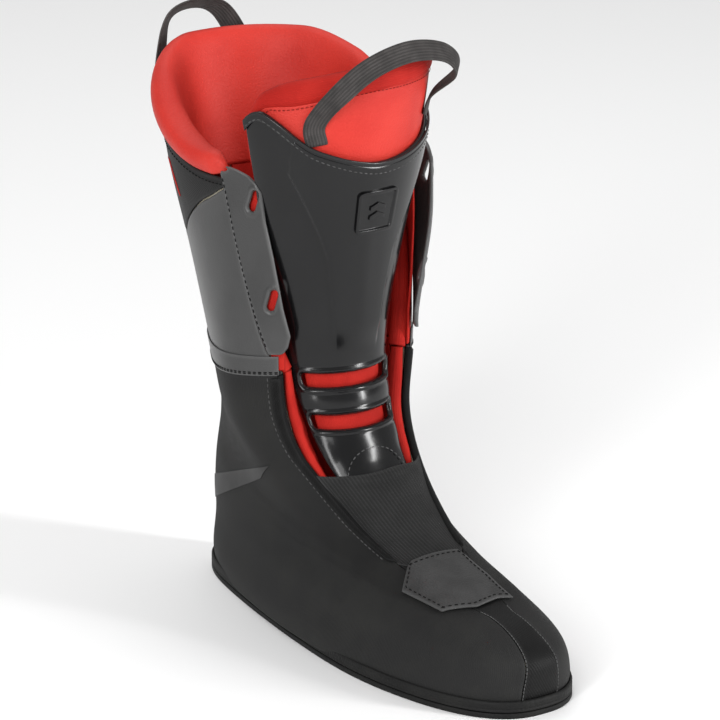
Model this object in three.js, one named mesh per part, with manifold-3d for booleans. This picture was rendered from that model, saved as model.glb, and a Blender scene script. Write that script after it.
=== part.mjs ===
// Removable inner liner of an alpine ski boot, right foot, in millimetres.
// +Z is up, the toe points along -Y, and the origin is on the ground under the middle of the foot.
//
// The whole liner is drawn on one form: loops around the foot and leg that climb from the sole to the top.
// `level` counts the loops, and `angle` runs round each of them from 0 at the front to PI at the back, with
// the medial side (+X) positive. Every layer and seam is a patch of that form at some depth under its surface.
import * as THREE from 'three';
import { mergeVertices } from 'three/addons/utils/BufferGeometryUtils.js';
import Module from 'manifold-3d';

const wasm = await Module();
wasm.setup();

// Driving dimensions
const FORM_LENGTH = 287;
const FORM_HEIGHT = 293;
const BALL_WIDTH = 102;

// Thickness of each layer, from the outside in, and the room between neighbours
const SKIN = 2.2;
const FOAM = 6.8;
const LINING = 1.3;
const GAP = 0.5;
const LINING_GAP = 1.1;
const TRIM = 1.1;
const FILM = 0.6;

// Sole
const OUTSOLE_THICKNESS = 3;
const RAND_HEIGHT = 5.5;
const RAND_THICKNESS = 1.8;
const BOARD_THICKNESS = 2;
const FOOTBED_THICKNESS = 4;
const FOOTBED_PLAY = 0.8;

// Tongue
const TONGUE_SHELL = 2.2;
const TONGUE_PAD = 10;
const FACE_PANEL = 0.9;
const TONGUE_TOP_ROLL = 7;
const LIP_TAPE_WIDTH = 6;
const WINDOW_HEIGHT = 9;
const BADGE_SIDE = 22;
const BADGE_RELIEF = 1;
const PATCH_LIFT = 0.9;

// Cuff, collar and flaps
const FLAP_THICKNESS = 2.2;
const BACKING_DEPTH = 0.4;
const FLAP_CLEARANCE = 1.5;
const SLOT_LENGTH = 12;
const SLOT_WIDTH = 4;
const COLLAR_BULGE = 5;
const BINDING_WIDTH = 8;
const BAND_HEIGHT = 10;
const ANKLE_PAD = 3.5;
const ELASTIC_LIFT = 1.6;

// Pull loops
const WEBBING = 1.6;
const TONGUE_LOOP_WIDTH = 15;
const REAR_LOOP_WIDTH = 13;

// Loops of the form as first drawn, 287 long, 293 high and 102 wide over the ball. Each row is a loop:
// y and z of its front point, y and z of its back point, half width at the heel and at the ball, and how
// square its corners are (2 is an ellipse).
const LOOPS = [
  [-142, 3, 140, 3, 38, 50, 2.5],
  [-145, 14, 142, 16, 39, 51, 2.5],
  [-144, 30, 143, 34, 35.5, 45, 2.4],
  [-124, 41, 145, 50, 34.5, 39, 2.3],
  [-88, 47, 144, 68, 33.5, 39, 2.2],
  [-48, 59, 140, 84, 33, 41, 2.1],
  [-13, 82, 134, 100, 35, 46, 2.0],
  [11, 109, 130, 117, 38, 53, 2.0],
  [15, 147, 131, 133, 43, 58, 2.1],
  [10, 197, 143, 190, 52, 57, 2.2],
  [1, 248, 157, 243, 59, 56, 2.2],
  [-5, 293, 166, 289, 62, 56, 2.2],
];
const [LENGTH_GRADE, HEIGHT_GRADE, WIDTH_GRADE] = [FORM_LENGTH / 287, FORM_HEIGHT / 293, BALL_WIDTH / 102];

// Places on the form, as levels and angles
const SOLE_LEVEL = 0.12;
const PATCH_TOP_LEVEL = 4.82;
const ELASTIC_TOP_LEVEL = 6.42;
const CUFF_LEVEL = 8;
const BAND_LEVEL = CUFF_LEVEL - 0.05;
const FLAP_TOP_LEVEL = 9.99;
const BACK = Math.PI;
const SEAM = 0.008;
// Angle of the front edge of the side panels: beside the toe strip first, then along the throat
const FRONT_EDGE = [
  [0, 0.15], [3.4, 0.15], [4.2, 0.32], [4.62, 0.5], [5.35, 0.64], [5.95, 0.71], [6.5, 0.77], [7.3, 0.78],
  [8.1, 0.77],
];
// y of the seam between cuff and flap at the bottom of the cuff, and its rise for each level above
const FLAP_SEAM_Y = 32;
const FLAP_SEAM_SLOPE = 15;
// Angle of the free front edge of the flap
const FLAP_EDGE = [
  [8.22, 0.79], [8.28, 0.71], [8.38, 0.68], [8.72, 0.76], [9.25, 0.87], [9.62, 0.96], [9.85, 1.03], [9.97, 1.12],
  [10.06, 1.26],
];

// Sections of the tongue as first drawn: y and z of its ridge, half width, and how far its edges lie behind the ridge
const TONGUE = [
  [-19.5, 75, 18, 5],
  [-8, 83, 21, 8],
  [5, 101, 24.5, 12],
  [12.5, 122, 26, 14],
  [15, 147, 28.5, 16],
  [13, 180, 33.5, 19],
  [9, 212, 41, 23],
  [3, 245, 47, 28],
  [-1.5, 272, 52, 33],
  [-4, 292, 55, 37],
  [-5, 304, 55, 38],
];
const TONGUE_WRAP = 1.25;
const LIP_LEVEL = 7.75;
const LIP_RISE = 0.5;
const LIP_SKEW = 0.25;
const FACE_TOP = 9.5;
const TONGUE_SPLIT = 0;
const WINDOWS = [{ level: 2.75, share: 0.84 }, { level: 3.7, share: 0.84 }];
const BADGE_LEVEL = 6.75;

const mix = (a, b, t) => a + (b - a) * t;
const clamp = (t) => Math.min(1, Math.max(0, t));
const smooth = (x, a, b) => {
  const t = clamp((x - a) / (b - a));
  return t * t * (3 - 2 * t);
};
const steps = (n) => Array.from({ length: n + 1 }, (_, i) => i / n);

// Value of a table of [position, value] rows, straight between them
function along(table, x) {
  const i = Math.max(1, table.findIndex(([at]) => at >= x));
  const [a, b] = x > table.at(-1)[0] ? table.slice(-2) : [table[i - 1], table[i]];
  return mix(a[1], b[1], clamp((x - a[0]) / (b[0] - a[0])));
}

// Catmull-Rom curve through the rows of a table, where row i is at position i
function curve(rows, at) {
  const last = rows.length - 1;
  const i = Math.min(Math.max(Math.floor(at), 0), last - 1);
  const t = at - i;
  return rows[0].map((_, k) => {
    const [b, c] = [rows[i][k], rows[i + 1][k]];
    const a = i > 0 ? rows[i - 1][k] : 2 * b - c;
    const d = i + 2 <= last ? rows[i + 2][k] : 2 * c - b;
    return 0.5 * (2 * b + (c - a) * t + (2 * a - 5 * b + 4 * c - d) * t * t + (3 * b - a - 3 * c + d) * t ** 3);
  });
}

const signedPower = (x, p) => Math.sign(x) * Math.abs(x) ** p;

// Point on the outside of the form
function formPoint(level, angle) {
  const [frontY, frontZ, backY, backZ, heelHalf, ballHalf, squareness] = curve(LOOPS, level);
  const forward = signedPower(Math.cos(angle), 2 / squareness);
  const side = signedPower(Math.sin(angle), 2 / squareness);
  return new THREE.Vector3(
    mix(heelHalf, ballHalf, smooth(forward, -0.75, 0.45)) * side * WIDTH_GRADE,
    mix(backY, frontY, (forward + 1) / 2) * LENGTH_GRADE,
    mix(backZ, frontZ, (forward + 1) / 2) * HEIGHT_GRADE,
  );
}

// Unit normal of a surface given by a function of two numbers, pointing along the cross of its second and first
function normalOf(surface, u, v, step = 0.01) {
  const du = surface(u + step, v).sub(surface(u - step, v));
  const dv = surface(u, v + step).sub(surface(u, v - step));
  return dv.cross(du).normalize();
}

// Point at a depth under the outside of the form
function at(level, angle, depth = 0) {
  return formPoint(level, angle).addScaledVector(normalOf(formPoint, level, angle), -depth);
}

// Angle at which the loop of a level reaches a given y
function angleAtY(level, y) {
  const [frontY, , backY, , , , squareness] = curve(LOOPS, level);
  const forward = (2 * (y / LENGTH_GRADE - backY)) / (frontY - backY) - 1;
  return Math.acos(Math.min(1, Math.max(-1, signedPower(forward, squareness / 2))));
}

const frontEdge = (level) => along(FRONT_EDGE, level);
const flapSeam = (level) => angleAtY(level, (FLAP_SEAM_Y + FLAP_SEAM_SLOPE * (level - CUFF_LEVEL)) * LENGTH_GRADE);
const flapEdge = (level) => along(FLAP_EDGE, level);
const yokeLevel = (angle) => mix(9.93, 9.2, smooth(angle, 1.5, 2.2));
const collarLevel = (angle) => mix(10.02, 10.25, smooth(angle, 1.5, 2.3));
// How much of a level one millimetre up the form is
const levelsFor = (length, level, angle) =>
  length / (100 * formPoint(level + 0.005, angle).distanceTo(formPoint(level - 0.005, angle)));
const anglesFor = (length, level, angle) =>
  length / (100 * formPoint(level, angle + 0.005).distanceTo(formPoint(level, angle - 0.005)));

// Geometry of a closed solid from its points and faces, with its faces turned outwards
function solid(points, faces) {
  let volume = 0;
  const triangles = faces.flatMap((f) => f.slice(2).map((_, i) => [f[0], f[i + 1], f[i + 2]]));
  const cross = new THREE.Vector3();
  for (const [a, b, c] of triangles) volume += points[a].dot(cross.crossVectors(points[b], points[c]));
  const index = volume < 0 ? triangles.map(([a, b, c]) => [a, c, b]) : triangles;
  const geometry = new THREE.BufferGeometry().setFromPoints(points);
  geometry.setIndex(index.flat());
  return mergeVertices(geometry, 1e-3);
}

// Slab between two faces: near and far give the points at shares u (rows) and v (columns)
function slab(rows, columns, near, far) {
  const [us, vs] = [Array.isArray(rows) ? rows : steps(rows), Array.isArray(columns) ? columns : steps(columns)];
  const [m, n] = [us.length, vs.length];
  const points = [near, far].flatMap((face) => us.flatMap((u) => vs.map((v) => face(u, v))));
  const id = (side, i, j) => side * m * n + i * n + j;
  const faces = [];
  for (let i = 0; i < m - 1; i++)
    for (let j = 0; j < n - 1; j++) {
      faces.push([id(0, i, j), id(0, i + 1, j), id(0, i + 1, j + 1), id(0, i, j + 1)]);
      faces.push([id(1, i, j), id(1, i, j + 1), id(1, i + 1, j + 1), id(1, i + 1, j)]);
    }
  for (let j = 0; j < n - 1; j++) {
    faces.push([id(0, 0, j), id(0, 0, j + 1), id(1, 0, j + 1), id(1, 0, j)]);
    faces.push([id(0, m - 1, j + 1), id(0, m - 1, j), id(1, m - 1, j), id(1, m - 1, j + 1)]);
  }
  for (let i = 0; i < m - 1; i++) {
    faces.push([id(0, i + 1, 0), id(0, i, 0), id(1, i, 0), id(1, i + 1, 0)]);
    faces.push([id(0, i, n - 1), id(0, i + 1, n - 1), id(1, i + 1, n - 1), id(1, i, n - 1)]);
  }
  return solid(points, faces);
}

// Solid through closed sections with the same number of points, capped at both ends
function loft(sections) {
  const n = sections[0].length;
  const points = sections.flat();
  const faces = [];
  for (let k = 0; k < sections.length - 1; k++)
    for (let i = 0; i < n; i++) {
      const j = (i + 1) % n;
      faces.push([k * n + i, k * n + j, (k + 1) * n + j, (k + 1) * n + i]);
    }
  for (const [k, turn] of [[0, false], [sections.length - 1, true]]) {
    const centre = sections[k].reduce((sum, p) => sum.add(p), new THREE.Vector3()).divideScalar(n);
    points.push(centre);
    for (let i = 0; i < n; i++) {
      const [a, b] = [k * n + i, k * n + ((i + 1) % n)];
      faces.push(turn ? [points.length - 1, a, b] : [points.length - 1, b, a]);
    }
  }
  return solid(points, faces);
}

// Layer of the form between two depths. place(u, v) gives [level, angle]; depths may depend on them.
function layer(rows, columns, place, outer, inner) {
  const face = (depth) => (u, v) => {
    const [level, angle] = place(u, v);
    return at(level, angle, typeof depth === 'function' ? depth(level, angle) : depth);
  };
  return slab(rows, columns, face(outer), face(inner));
}

function manifoldOf(geometry) {
  const bare = geometry.clone();
  for (const name of ['normal', 'uv']) bare.deleteAttribute(name);
  const merged = mergeVertices(bare, 1e-3);
  return new wasm.Manifold(new wasm.Mesh({
    numProp: 3,
    vertProperties: merged.attributes.position.array,
    triVerts: new Uint32Array(merged.index.array),
  }));
}

// Geometry with cutters taken away
function cut(geometry, cutters) {
  const mesh = cutters.reduce((left, cutter) => left.subtract(manifoldOf(cutter)), manifoldOf(geometry)).getMesh();
  return new THREE.BufferGeometry()
    .setAttribute('position', new THREE.BufferAttribute(new Float32Array(mesh.vertProperties), 3))
    .setIndex(new THREE.BufferAttribute(new Uint32Array(mesh.triVerts), 1));
}

const MATERIALS = {
  neoprene: { color: 0x2b2b2c, roughness: 0.85, metalness: 0 },
  coated: { color: 0x55565a, roughness: 0.45, metalness: 0 },
  yoke: { color: 0x3a3a3c, roughness: 0.6, metalness: 0 },
  plastic: { color: 0x2a2a2c, roughness: 0.35, metalness: 0 },
  webbing: { color: 0x3b3b3c, roughness: 0.9, metalness: 0 },
  elastic: { color: 0x2f2f30, roughness: 0.95, metalness: 0 },
  leather: { color: 0x47474a, roughness: 0.5, metalness: 0 },
  red: { color: 0xcf3a2c, roughness: 0.6, metalness: 0 },
  foam: { color: 0xd8d2bf, roughness: 0.9, metalness: 0 },
  rubber: { color: 0x262626, roughness: 0.9, metalness: 0 },
};
const liner = new THREE.Group();
const finishes = Object.fromEntries(
  Object.entries(MATERIALS).map(([name, values]) => [name, new THREE.MeshStandardMaterial({ name, ...values })]),
);
function add(name, finish, geometry) {
  const mesh = new THREE.Mesh(geometry, finishes[finish]);
  mesh.name = name;
  liner.add(mesh);
}
const SIDES = [['left', -1], ['right', 1]];

// Sole: an outsole plate, the rand that stands round its edge, and the board and footbed inside

// Outline of the foot at a level, grown by an offset
function soleOutline(offset, level = 1, count = 72) {
  return steps(count).slice(0, -1).map((u) => {
    const angle = u * 2 * Math.PI;
    const normal = normalOf(formPoint, level, angle).setZ(0).normalize();
    const p = formPoint(level, angle).addScaledVector(normal, offset);
    return new THREE.Vector2(p.x, p.y);
  });
}

function plate(outline, low, thickness, hole) {
  const shape = new THREE.Shape(outline);
  if (hole) shape.holes.push(new THREE.Path(hole));
  return new THREE.ExtrudeGeometry(shape, { depth: thickness, bevelEnabled: false, steps: 1 }).translate(0, 0, low);
}

const RAND_BOTTOM = OUTSOLE_THICKNESS + GAP;
const FOAM_OUTER = SKIN + GAP;
const LINING_OUTER = FOAM_OUTER + FOAM + LINING_GAP;
const LINING_INNER = LINING_OUTER + LINING;
const BOARD_BOTTOM = OUTSOLE_THICKNESS + GAP;
const FOOTBED_BOTTOM = BOARD_BOTTOM + BOARD_THICKNESS + GAP;
add('outsole', 'rubber', plate(soleOutline(GAP + RAND_THICKNESS), 0, OUTSOLE_THICKNESS));
add('sole_rand', 'rubber',
  plate(soleOutline(GAP + RAND_THICKNESS), RAND_BOTTOM, RAND_HEIGHT, soleOutline(GAP).reverse()));
add('lasting_board', 'foam', plate(soleOutline(-LINING_INNER - GAP, 0, 48), BOARD_BOTTOM, BOARD_THICKNESS));
add('footbed', 'neoprene',
  plate(soleOutline(-LINING_INNER - GAP - FOOTBED_PLAY, 0, 48), FOOTBED_BOTTOM, FOOTBED_THICKNESS));

// Foot: two side panels, their foam and lining, the toe strip between them and the pads at the ankle

// Levels where every foot layer has a row, closer together over the round of the toe
const FOOT_LEVELS = [SOLE_LEVEL, 0.6, 1.1, 1.6, 2.1, 2.7, 3.3, 4, 4.7, 5.35, 6, 6.6, 7.3, CUFF_LEVEL - 0.01];
// Columns round the form, closer together at the front and back where the loops turn
const AROUND = steps(12).map((t) => t - 0.09 * Math.sin(2 * Math.PI * t));

// Rows from one level to another through the shared levels between them, as shares of the way
function rowsBetween(low, high, levels = FOOT_LEVELS) {
  const inside = levels.filter((level) => level > low + 0.05 && level < high - 0.05);
  return [low, ...inside, high].map((level) => (level - low) / (high - low));
}
// Place on one side of the form, from an edge that faces the front to the seam at the back
const sidePlace = (side, edge, low, high) => (u, v) => {
  const level = mix(low, high, u);
  return [level, side * mix(edge(level) + SEAM, BACK - SEAM, v)];
};
// Place between the front edges of the two side panels
const middlePlace = (low, high) => (u, v) => {
  const level = mix(low, high, u);
  return [level, mix(-1, 1, v) * (frontEdge(level) - SEAM)];
};

const FOOT_TOP = CUFF_LEVEL - 0.01;
const TOE_TOP = 4.7;
const ANKLE = { level: 6, angle: 1.85, halfLevels: 0.72, halfAngle: 0.33 };

// Oval patch of the ankle, grown by a margin, between two depths
function anklePatch(side, margin, outer, inner) {
  const { level, angle, halfLevels, halfAngle } = ANKLE;
  const [tall, wide] = [
    halfLevels + levelsFor(margin, level, side * angle),
    halfAngle + anglesFor(margin, level, side * angle),
  ];
  return layer(6, 6, (u, v) => {
    const [x, y] = [mix(-1, 1, u), mix(-1, 1, v)];
    return [level + tall * x, side * (angle + wide * y * Math.sqrt(1 - 0.6 * x * x))];
  }, outer, inner);
}

for (const [name, side] of SIDES) {
  const place = sidePlace(side, frontEdge, SOLE_LEVEL, FOOT_TOP);
  const rows = rowsBetween(SOLE_LEVEL, FOOT_TOP);
  const foamBack = FOAM_OUTER + FOAM;
  add(`foot_panel_${name}`, 'neoprene', layer(rows, AROUND, place, 0, SKIN));
  add(`foot_foam_${name}`, 'foam', cut(layer(rows, AROUND, place, FOAM_OUTER, foamBack),
    [anklePatch(side, GAP, foamBack - ANKLE_PAD - GAP, foamBack + FOAM)]));
  add(`ankle_pad_${name}`, 'foam', anklePatch(side, 0, foamBack - ANKLE_PAD, foamBack));
}

// Toe strip down the middle, with the toe box's foam and lining behind it
const toeRows = rowsBetween(SOLE_LEVEL, TOE_TOP);
for (const [name, finish, outer, inner] of [
  ['toe_strip', 'rubber', 0, SKIN], ['toe_foam', 'foam', FOAM_OUTER, FOAM_OUTER + FOAM],
  ['toe_lining', 'red', LINING_OUTER, LINING_INNER],
]) add(name, finish, layer(toeRows, 6, middlePlace(SOLE_LEVEL, TOE_TOP), outer, inner));

// Elastic panel over the instep, which rises off the form where it passes over the tongue
const elasticFace = (depth) => (level) => depth - ELASTIC_LIFT * smooth(level, 5.5, 6.2);
const elasticRows = rowsBetween(TOE_TOP + 0.02, ELASTIC_TOP_LEVEL);
add('instep_elastic', 'elastic',
  layer(elasticRows, 8, middlePlace(TOE_TOP + 0.02, ELASTIC_TOP_LEVEL), elasticFace(0.3), elasticFace(0.3 + TRIM)));

// Toe patch over the front end of the throat, wider on the lateral side
const PATCH_HALF = [[0, 0.67], [0.2, 0.87], [1, 0.42]];
const MEDIAL_SHARE = 0.7;
add('toe_patch', 'leather', layer([0, 0.2, 0.4, 0.6, 0.8, 1], 8, (u, v) => {
  const across = mix(-1, 1, v);
  const half = along(PATCH_HALF, u) * (across > 0 ? MEDIAL_SHARE : 1);
  return [mix(3.72 - 0.55 * Math.abs(across) ** 1.5, PATCH_TOP_LEVEL - 0.2 * Math.abs(across), u), across * half];
}, -PATCH_LIFT - TRIM, -PATCH_LIFT));

for (const [name, side] of SIDES) {
  const [bindingFoot, bindingTop] = [PATCH_TOP_LEVEL - 0.1, CUFF_LEVEL - 0.08];
  add(`throat_binding_${name}`, 'webbing', layer(rowsBetween(bindingFoot, bindingTop), 2, (u, v) => {
    const level = mix(bindingFoot, bindingTop, u);
    const angle = frontEdge(level);
    return [level, side * (angle + SEAM + v * anglesFor(BINDING_WIDTH, level, angle))];
  }, -GAP - TRIM, -GAP));
  // Padded red edge of the lining, just in front of the cut edge of the foam
  const radius = (level) => along([[6.1, 2.4], [6.6, 3.8], [7, 4], [7.4, 3], [7.9, 1.6]], level);
  add(`throat_roll_${name}`, 'red', loft(steps(10).map((u) => {
    const level = mix(6.15, 7.92, u);
    const r = radius(level);
    const angle = frontEdge(level);
    const forward = anglesFor(1.25 * r + 3 * GAP, level, angle);
    const middle = side * (angle - forward);
    const centre = at(level, middle, SKIN + GAP + r);
    const tangent = at(level, middle - 0.01, 5).sub(at(level, middle + 0.01, 5)).normalize();
    const inward = normalOf(formPoint, level, middle).negate();
    return steps(8).slice(0, -1).map((t) => {
      const a = t * 2 * Math.PI;
      return centre.clone().addScaledVector(tangent, r * Math.cos(a)).addScaledVector(inward, r * Math.sin(a));
    });
  })));
}

// Grey film across the side of the heel, given by its corners: rear end first, then front end
const FILM_CORNERS = { rear: [[2.75, 2.71], [2.6, 2.43]], front: [[5.5, 1.64], [5.7, 1.43]] };
for (const [name, side] of SIDES)
  add(`heel_film_${name}`, 'coated', layer(2, 8, (u, v) => {
    const [rear, front] = ['rear', 'front'].map((end) => {
      const [lower, upper] = FILM_CORNERS[end];
      return lower.map((a, k) => mix(a, upper[k], u));
    });
    return [mix(rear[0], front[0], v), side * mix(rear[1], front[1], v)];
  }, -0.3 - FILM, -0.3));

// Cuff: coated side panels, rear yoke, foam, band over the joint with the foot, flaps and collar

// As sidePlace, from the bottom of the cuff up to a top edge whose level depends on the angle
const CUFF_TOP = 9.95;
const cuffPlace = (side, top) => (u, v) => {
  const crown = mix(flapSeam(CUFF_TOP) + SEAM, BACK - SEAM, v);
  const level = mix(CUFF_LEVEL + 0.01, top(crown), u);
  const lean = u * (1 - v) * (flapSeam(CUFF_TOP) - flapSeam(top(crown)));
  return [level, side * (mix(flapSeam(level) + SEAM, BACK - SEAM, v) + lean)];
};
const cuffRows = steps(6);
const collarSeam = (angle) => collarLevel(angle) - 0.015;
for (const [name, side] of SIDES) {
  add(`cuff_panel_${name}`, 'coated', layer(cuffRows, AROUND, cuffPlace(side, yokeLevel), 0, SKIN));
  add(`cuff_foam_${name}`, 'foam',
    layer(cuffRows, AROUND, cuffPlace(side, collarSeam), FOAM_OUTER, FOAM_OUTER + FOAM));
  add(`cuff_lining_${name}`, 'red',
    layer(cuffRows, AROUND, cuffPlace(side, collarSeam), LINING_OUTER, LINING_INNER));
  add(`foot_lining_${name}`, 'red',
    layer(rowsBetween(SOLE_LEVEL, FOOT_TOP), AROUND, sidePlace(side, frontEdge, SOLE_LEVEL, FOOT_TOP),
      LINING_OUTER, LINING_INNER));
}
// Columns from one flap seam round the back to the other, as on the side panels
const AROUND_BACK = [...AROUND.map((t) => t / 2), ...AROUND.slice(0, -1).reverse().map((t) => 1 - t / 2)];
add('cuff_yoke', 'yoke', layer(4, AROUND_BACK, (u, v) => {
  const angle = mix(flapSeam(CUFF_TOP) + SEAM, 2 * Math.PI - flapSeam(CUFF_TOP) - SEAM, v);
  const folded = Math.min(angle, 2 * Math.PI - angle);
  return [mix(yokeLevel(folded) + 0.02, collarSeam(folded), u), angle];
}, 0, SKIN));
add('ankle_band', 'coated', layer(2, 24, (u, v) => {
  const start = frontEdge(CUFF_LEVEL) + 0.02;
  const angle = mix(start, 2 * Math.PI - start, v);
  return [BAND_LEVEL + u * levelsFor(BAND_HEIGHT, BAND_LEVEL, angle), angle];
}, -GAP - TRIM, -GAP));

// Stiff flap with two slots, hinged along the seam at the front of the cuff
const flapBottom = BAND_LEVEL + levelsFor(BAND_HEIGHT + FLAP_CLEARANCE, BAND_LEVEL, flapSeam(CUFF_LEVEL));
function flap(side) {
  const place = (u, v) => {
    const level = mix(flapBottom, FLAP_TOP_LEVEL, u);
    return [level, side * mix(flapSeam(level) - SEAM, flapEdge(level), v)];
  };
  const rows = steps(12).map((t) => Math.sin((t * Math.PI) / 2) ** 0.9);
  const body = layer(rows, 4, place, -FLAP_THICKNESS - 0.2, -0.2);
  const slots = [0.24, 0.82].map((share) => {
    const [level, angle] = place(share, 0.55);
    const centre = at(level, angle, 0);
    const up = at(level + 0.05, angle - side * 0.01).sub(centre).normalize();
    const out = normalOf(formPoint, level, angle);
    const across = up.clone().cross(out).normalize();
    const slot = new THREE.Shape();
    const [straight, radius] = [(SLOT_LENGTH - SLOT_WIDTH) / 2, SLOT_WIDTH / 2];
    slot.absarc(0, straight, radius, 0, Math.PI);
    slot.absarc(0, -straight, radius, Math.PI, 2 * Math.PI);
    const reach = 6 * FLAP_THICKNESS;
    const cutter = new THREE.ExtrudeGeometry(slot, { depth: reach, bevelEnabled: false, curveSegments: 6 });
    const turn = new THREE.Matrix4().makeBasis(across, up, across.clone().cross(up)).setPosition(centre);
    cutter.translate(0, 0, -reach / 2).applyMatrix4(turn);
    return cutter;
  });
  return cut(body, slots);
}
for (const [name, side] of SIDES) {
  add(`flap_${name}`, 'coated', flap(side));
  // The edge of the lining, which runs forward behind the flap
  add(`flap_backing_${name}`, 'red', layer(8, 3, (u, v) => {
    const level = mix(CUFF_LEVEL + 0.01, FLAP_TOP_LEVEL - 0.2, u);
    return [level, side * mix(flapSeam(level) - SEAM, flapEdge(level) + 0.04, v)];
  }, BACKING_DEPTH, BACKING_DEPTH + LINING));
}

// Padded collar: a fat roll from one side of the leg round the back to the other. It stands high at the back
// and on the medial side, and falls away towards the front of the lateral side.
const collarRise = (angle) => (angle < BACK ? smooth(angle, 1, 1.9) : smooth(2 * BACK - angle, 1.5, BACK));
const collarHeight = (angle) => mix(13, 42, collarRise(angle)) * HEIGHT_GRADE;
const COLLAR_DEPTH = LINING_INNER + 3;
// Outline of the roll: shares of its depth inwards, of its height and of its bulge
const COLLAR_SECTION = [
  [0, 0, 0], [0, 0.2, 0.6], [0, 0.5, 1], [0.02, 0.8, 0.8], [0.2, 0.96, 0], [0.5, 1, 0], [0.8, 0.9, 0], [0.95, 0.6, 0],
  [0.9, 0.25, 0], [0.8, 0, 0],
];
// Point of the collar's section at an angle, with an extra distance outwards
function collarPoint(angle, [inward, height, bulge], extra = 0) {
  const folded = Math.min(angle, 2 * Math.PI - angle);
  const level = collarLevel(folded);
  const taper = mix(0.5, 1, smooth(folded, 1.35, 1.75));
  const out = normalOf(formPoint, level, angle);
  const up = formPoint(level + 0.05, angle).sub(formPoint(level - 0.05, angle)).normalize();
  return formPoint(level, angle)
    .addScaledVector(out, taper * (bulge * COLLAR_BULGE - inward * COLLAR_DEPTH) + extra)
    .addScaledVector(up, height * collarHeight(angle));
}
const collarStart = flapSeam(CUFF_TOP) + SEAM;
add('collar', 'red', loft(AROUND_BACK.map((v) => {
  const angle = mix(collarStart, 2 * Math.PI - collarStart, v);
  return COLLAR_SECTION.map((share) => collarPoint(angle, share));
})));

// Tongue: shell with two flex windows, lip tape, badge, face panel, pad and padded top

function tonguePoint(level, across) {
  const [ridgeY, ridgeZ, half, depth] = curve(TONGUE, level);
  const turn = across * TONGUE_WRAP;
  return new THREE.Vector3(
    (half * Math.sin(turn)) / Math.sin(TONGUE_WRAP) * WIDTH_GRADE,
    (ridgeY + (depth * (1 - Math.cos(turn))) / (1 - Math.cos(TONGUE_WRAP))) * LENGTH_GRADE,
    ridgeZ * HEIGHT_GRADE,
  );
}
const tongueAt = (level, across, depth = 0) =>
  tonguePoint(level, across).addScaledVector(normalOf(tonguePoint, level, across), -depth);
function tongueLayer(rows, columns, place, outer, inner) {
  const face = (depth) => (u, v) => {
    const [level, across] = place(u, v);
    return tongueAt(level, across, typeof depth === 'function' ? depth(level, across) : depth);
  };
  return slab(rows, columns, face(outer), face(inner));
}
const lip = (across) => LIP_LEVEL + LIP_RISE * Math.abs(across) ** 1.6 - LIP_SKEW * across;
const tongueRow = (length, level) =>
  length / (100 * tonguePoint(level + 0.005, 0).distanceTo(tonguePoint(level - 0.005, 0)));

const windows = WINDOWS.map(({ level, share }) => tongueLayer(2, 10, (u, v) => {
  const high = tongueRow(WINDOW_HEIGHT, level);
  return [level + (u - 0.5) * high, mix(-share, share, v)];
}, -3, TONGUE_SHELL + 0.35));
add('tongue_shell', 'plastic', cut(tongueLayer(17, 10, (u, v) => {
  const across = mix(-1, 1, v);
  return [mix(TONGUE_SPLIT, lip(across), u), across];
}, 0, TONGUE_SHELL), windows));
add('tongue_lip_tape', 'webbing', tongueLayer(1, 16, (u, v) => {
  const across = mix(-1, 1, v);
  return [lip(across) - (1 - u) * tongueRow(LIP_TAPE_WIDTH, 8), across];
}, -GAP - TRIM, -GAP));
add('badge', 'plastic', tongueLayer(3, 6, (u, v) => {
  const high = tongueRow(BADGE_SIDE, BADGE_LEVEL);
  const halfWide = BADGE_SIDE / 2 / tonguePoint(BADGE_LEVEL, 1).x;
  return [BADGE_LEVEL + (u - 0.5) * high, mix(-1, 1, v) * halfWide * 0.78];
}, -GAP - BADGE_RELIEF, -GAP));
const FACE_DEPTH = TONGUE_SHELL + GAP;
const PAD_DEPTH = FACE_DEPTH + FACE_PANEL + GAP;
add('tongue_face', 'red', tongueLayer(6, 12, (u, v) => [mix(LIP_LEVEL - 0.35, FACE_TOP, u), mix(-0.97, 0.97, v)],
  FACE_DEPTH, FACE_DEPTH + FACE_PANEL));
// The pad thins out at its edges and towards the instep
const padInner = (level, across) =>
  PAD_DEPTH + TONGUE_PAD * (1 - 0.55 * across * across) * mix(0.6, 1, smooth(level, 0, 2.5));
add('tongue_pad', 'red',
  tongueLayer(12, 10, (u, v) => [mix(0.12, FACE_TOP, u), mix(-0.97, 0.97, v)], PAD_DEPTH, padInner));
add('tongue_top_roll', 'red', loft(steps(16).map((v) => {
  const across = mix(-0.97, 0.97, v);
  const up = tonguePoint(FACE_TOP + 0.05, across).sub(tonguePoint(FACE_TOP - 0.05, across)).normalize();
  const out = normalOf(tonguePoint, FACE_TOP, across);
  const thick = (padInner(FACE_TOP, across) - FACE_DEPTH) / 2;
  const centre = tongueAt(FACE_TOP, across, FACE_DEPTH + thick).addScaledVector(up, TONGUE_TOP_ROLL + GAP);
  return steps(10).slice(0, -1).map((t) => {
    const a = t * 2 * Math.PI;
    return centre.clone().addScaledVector(out, (thick + 1) * Math.cos(a))
      .addScaledVector(up, TONGUE_TOP_ROLL * Math.sin(a));
  });
})));
// Fixed lower end of the tongue, sewn in under the elastic
add('tongue_root', 'leather', layer(6, 6, (u, v) => {
  const level = mix(PATCH_TOP_LEVEL, 5.7, u);
  return [level, mix(-1, 1, v) * mix(0.32, 0.44, u)];
}, 2.4, 4.4));

// Pull loops: webbing on a curve through points, whose width turns through a list of directions along the way

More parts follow.
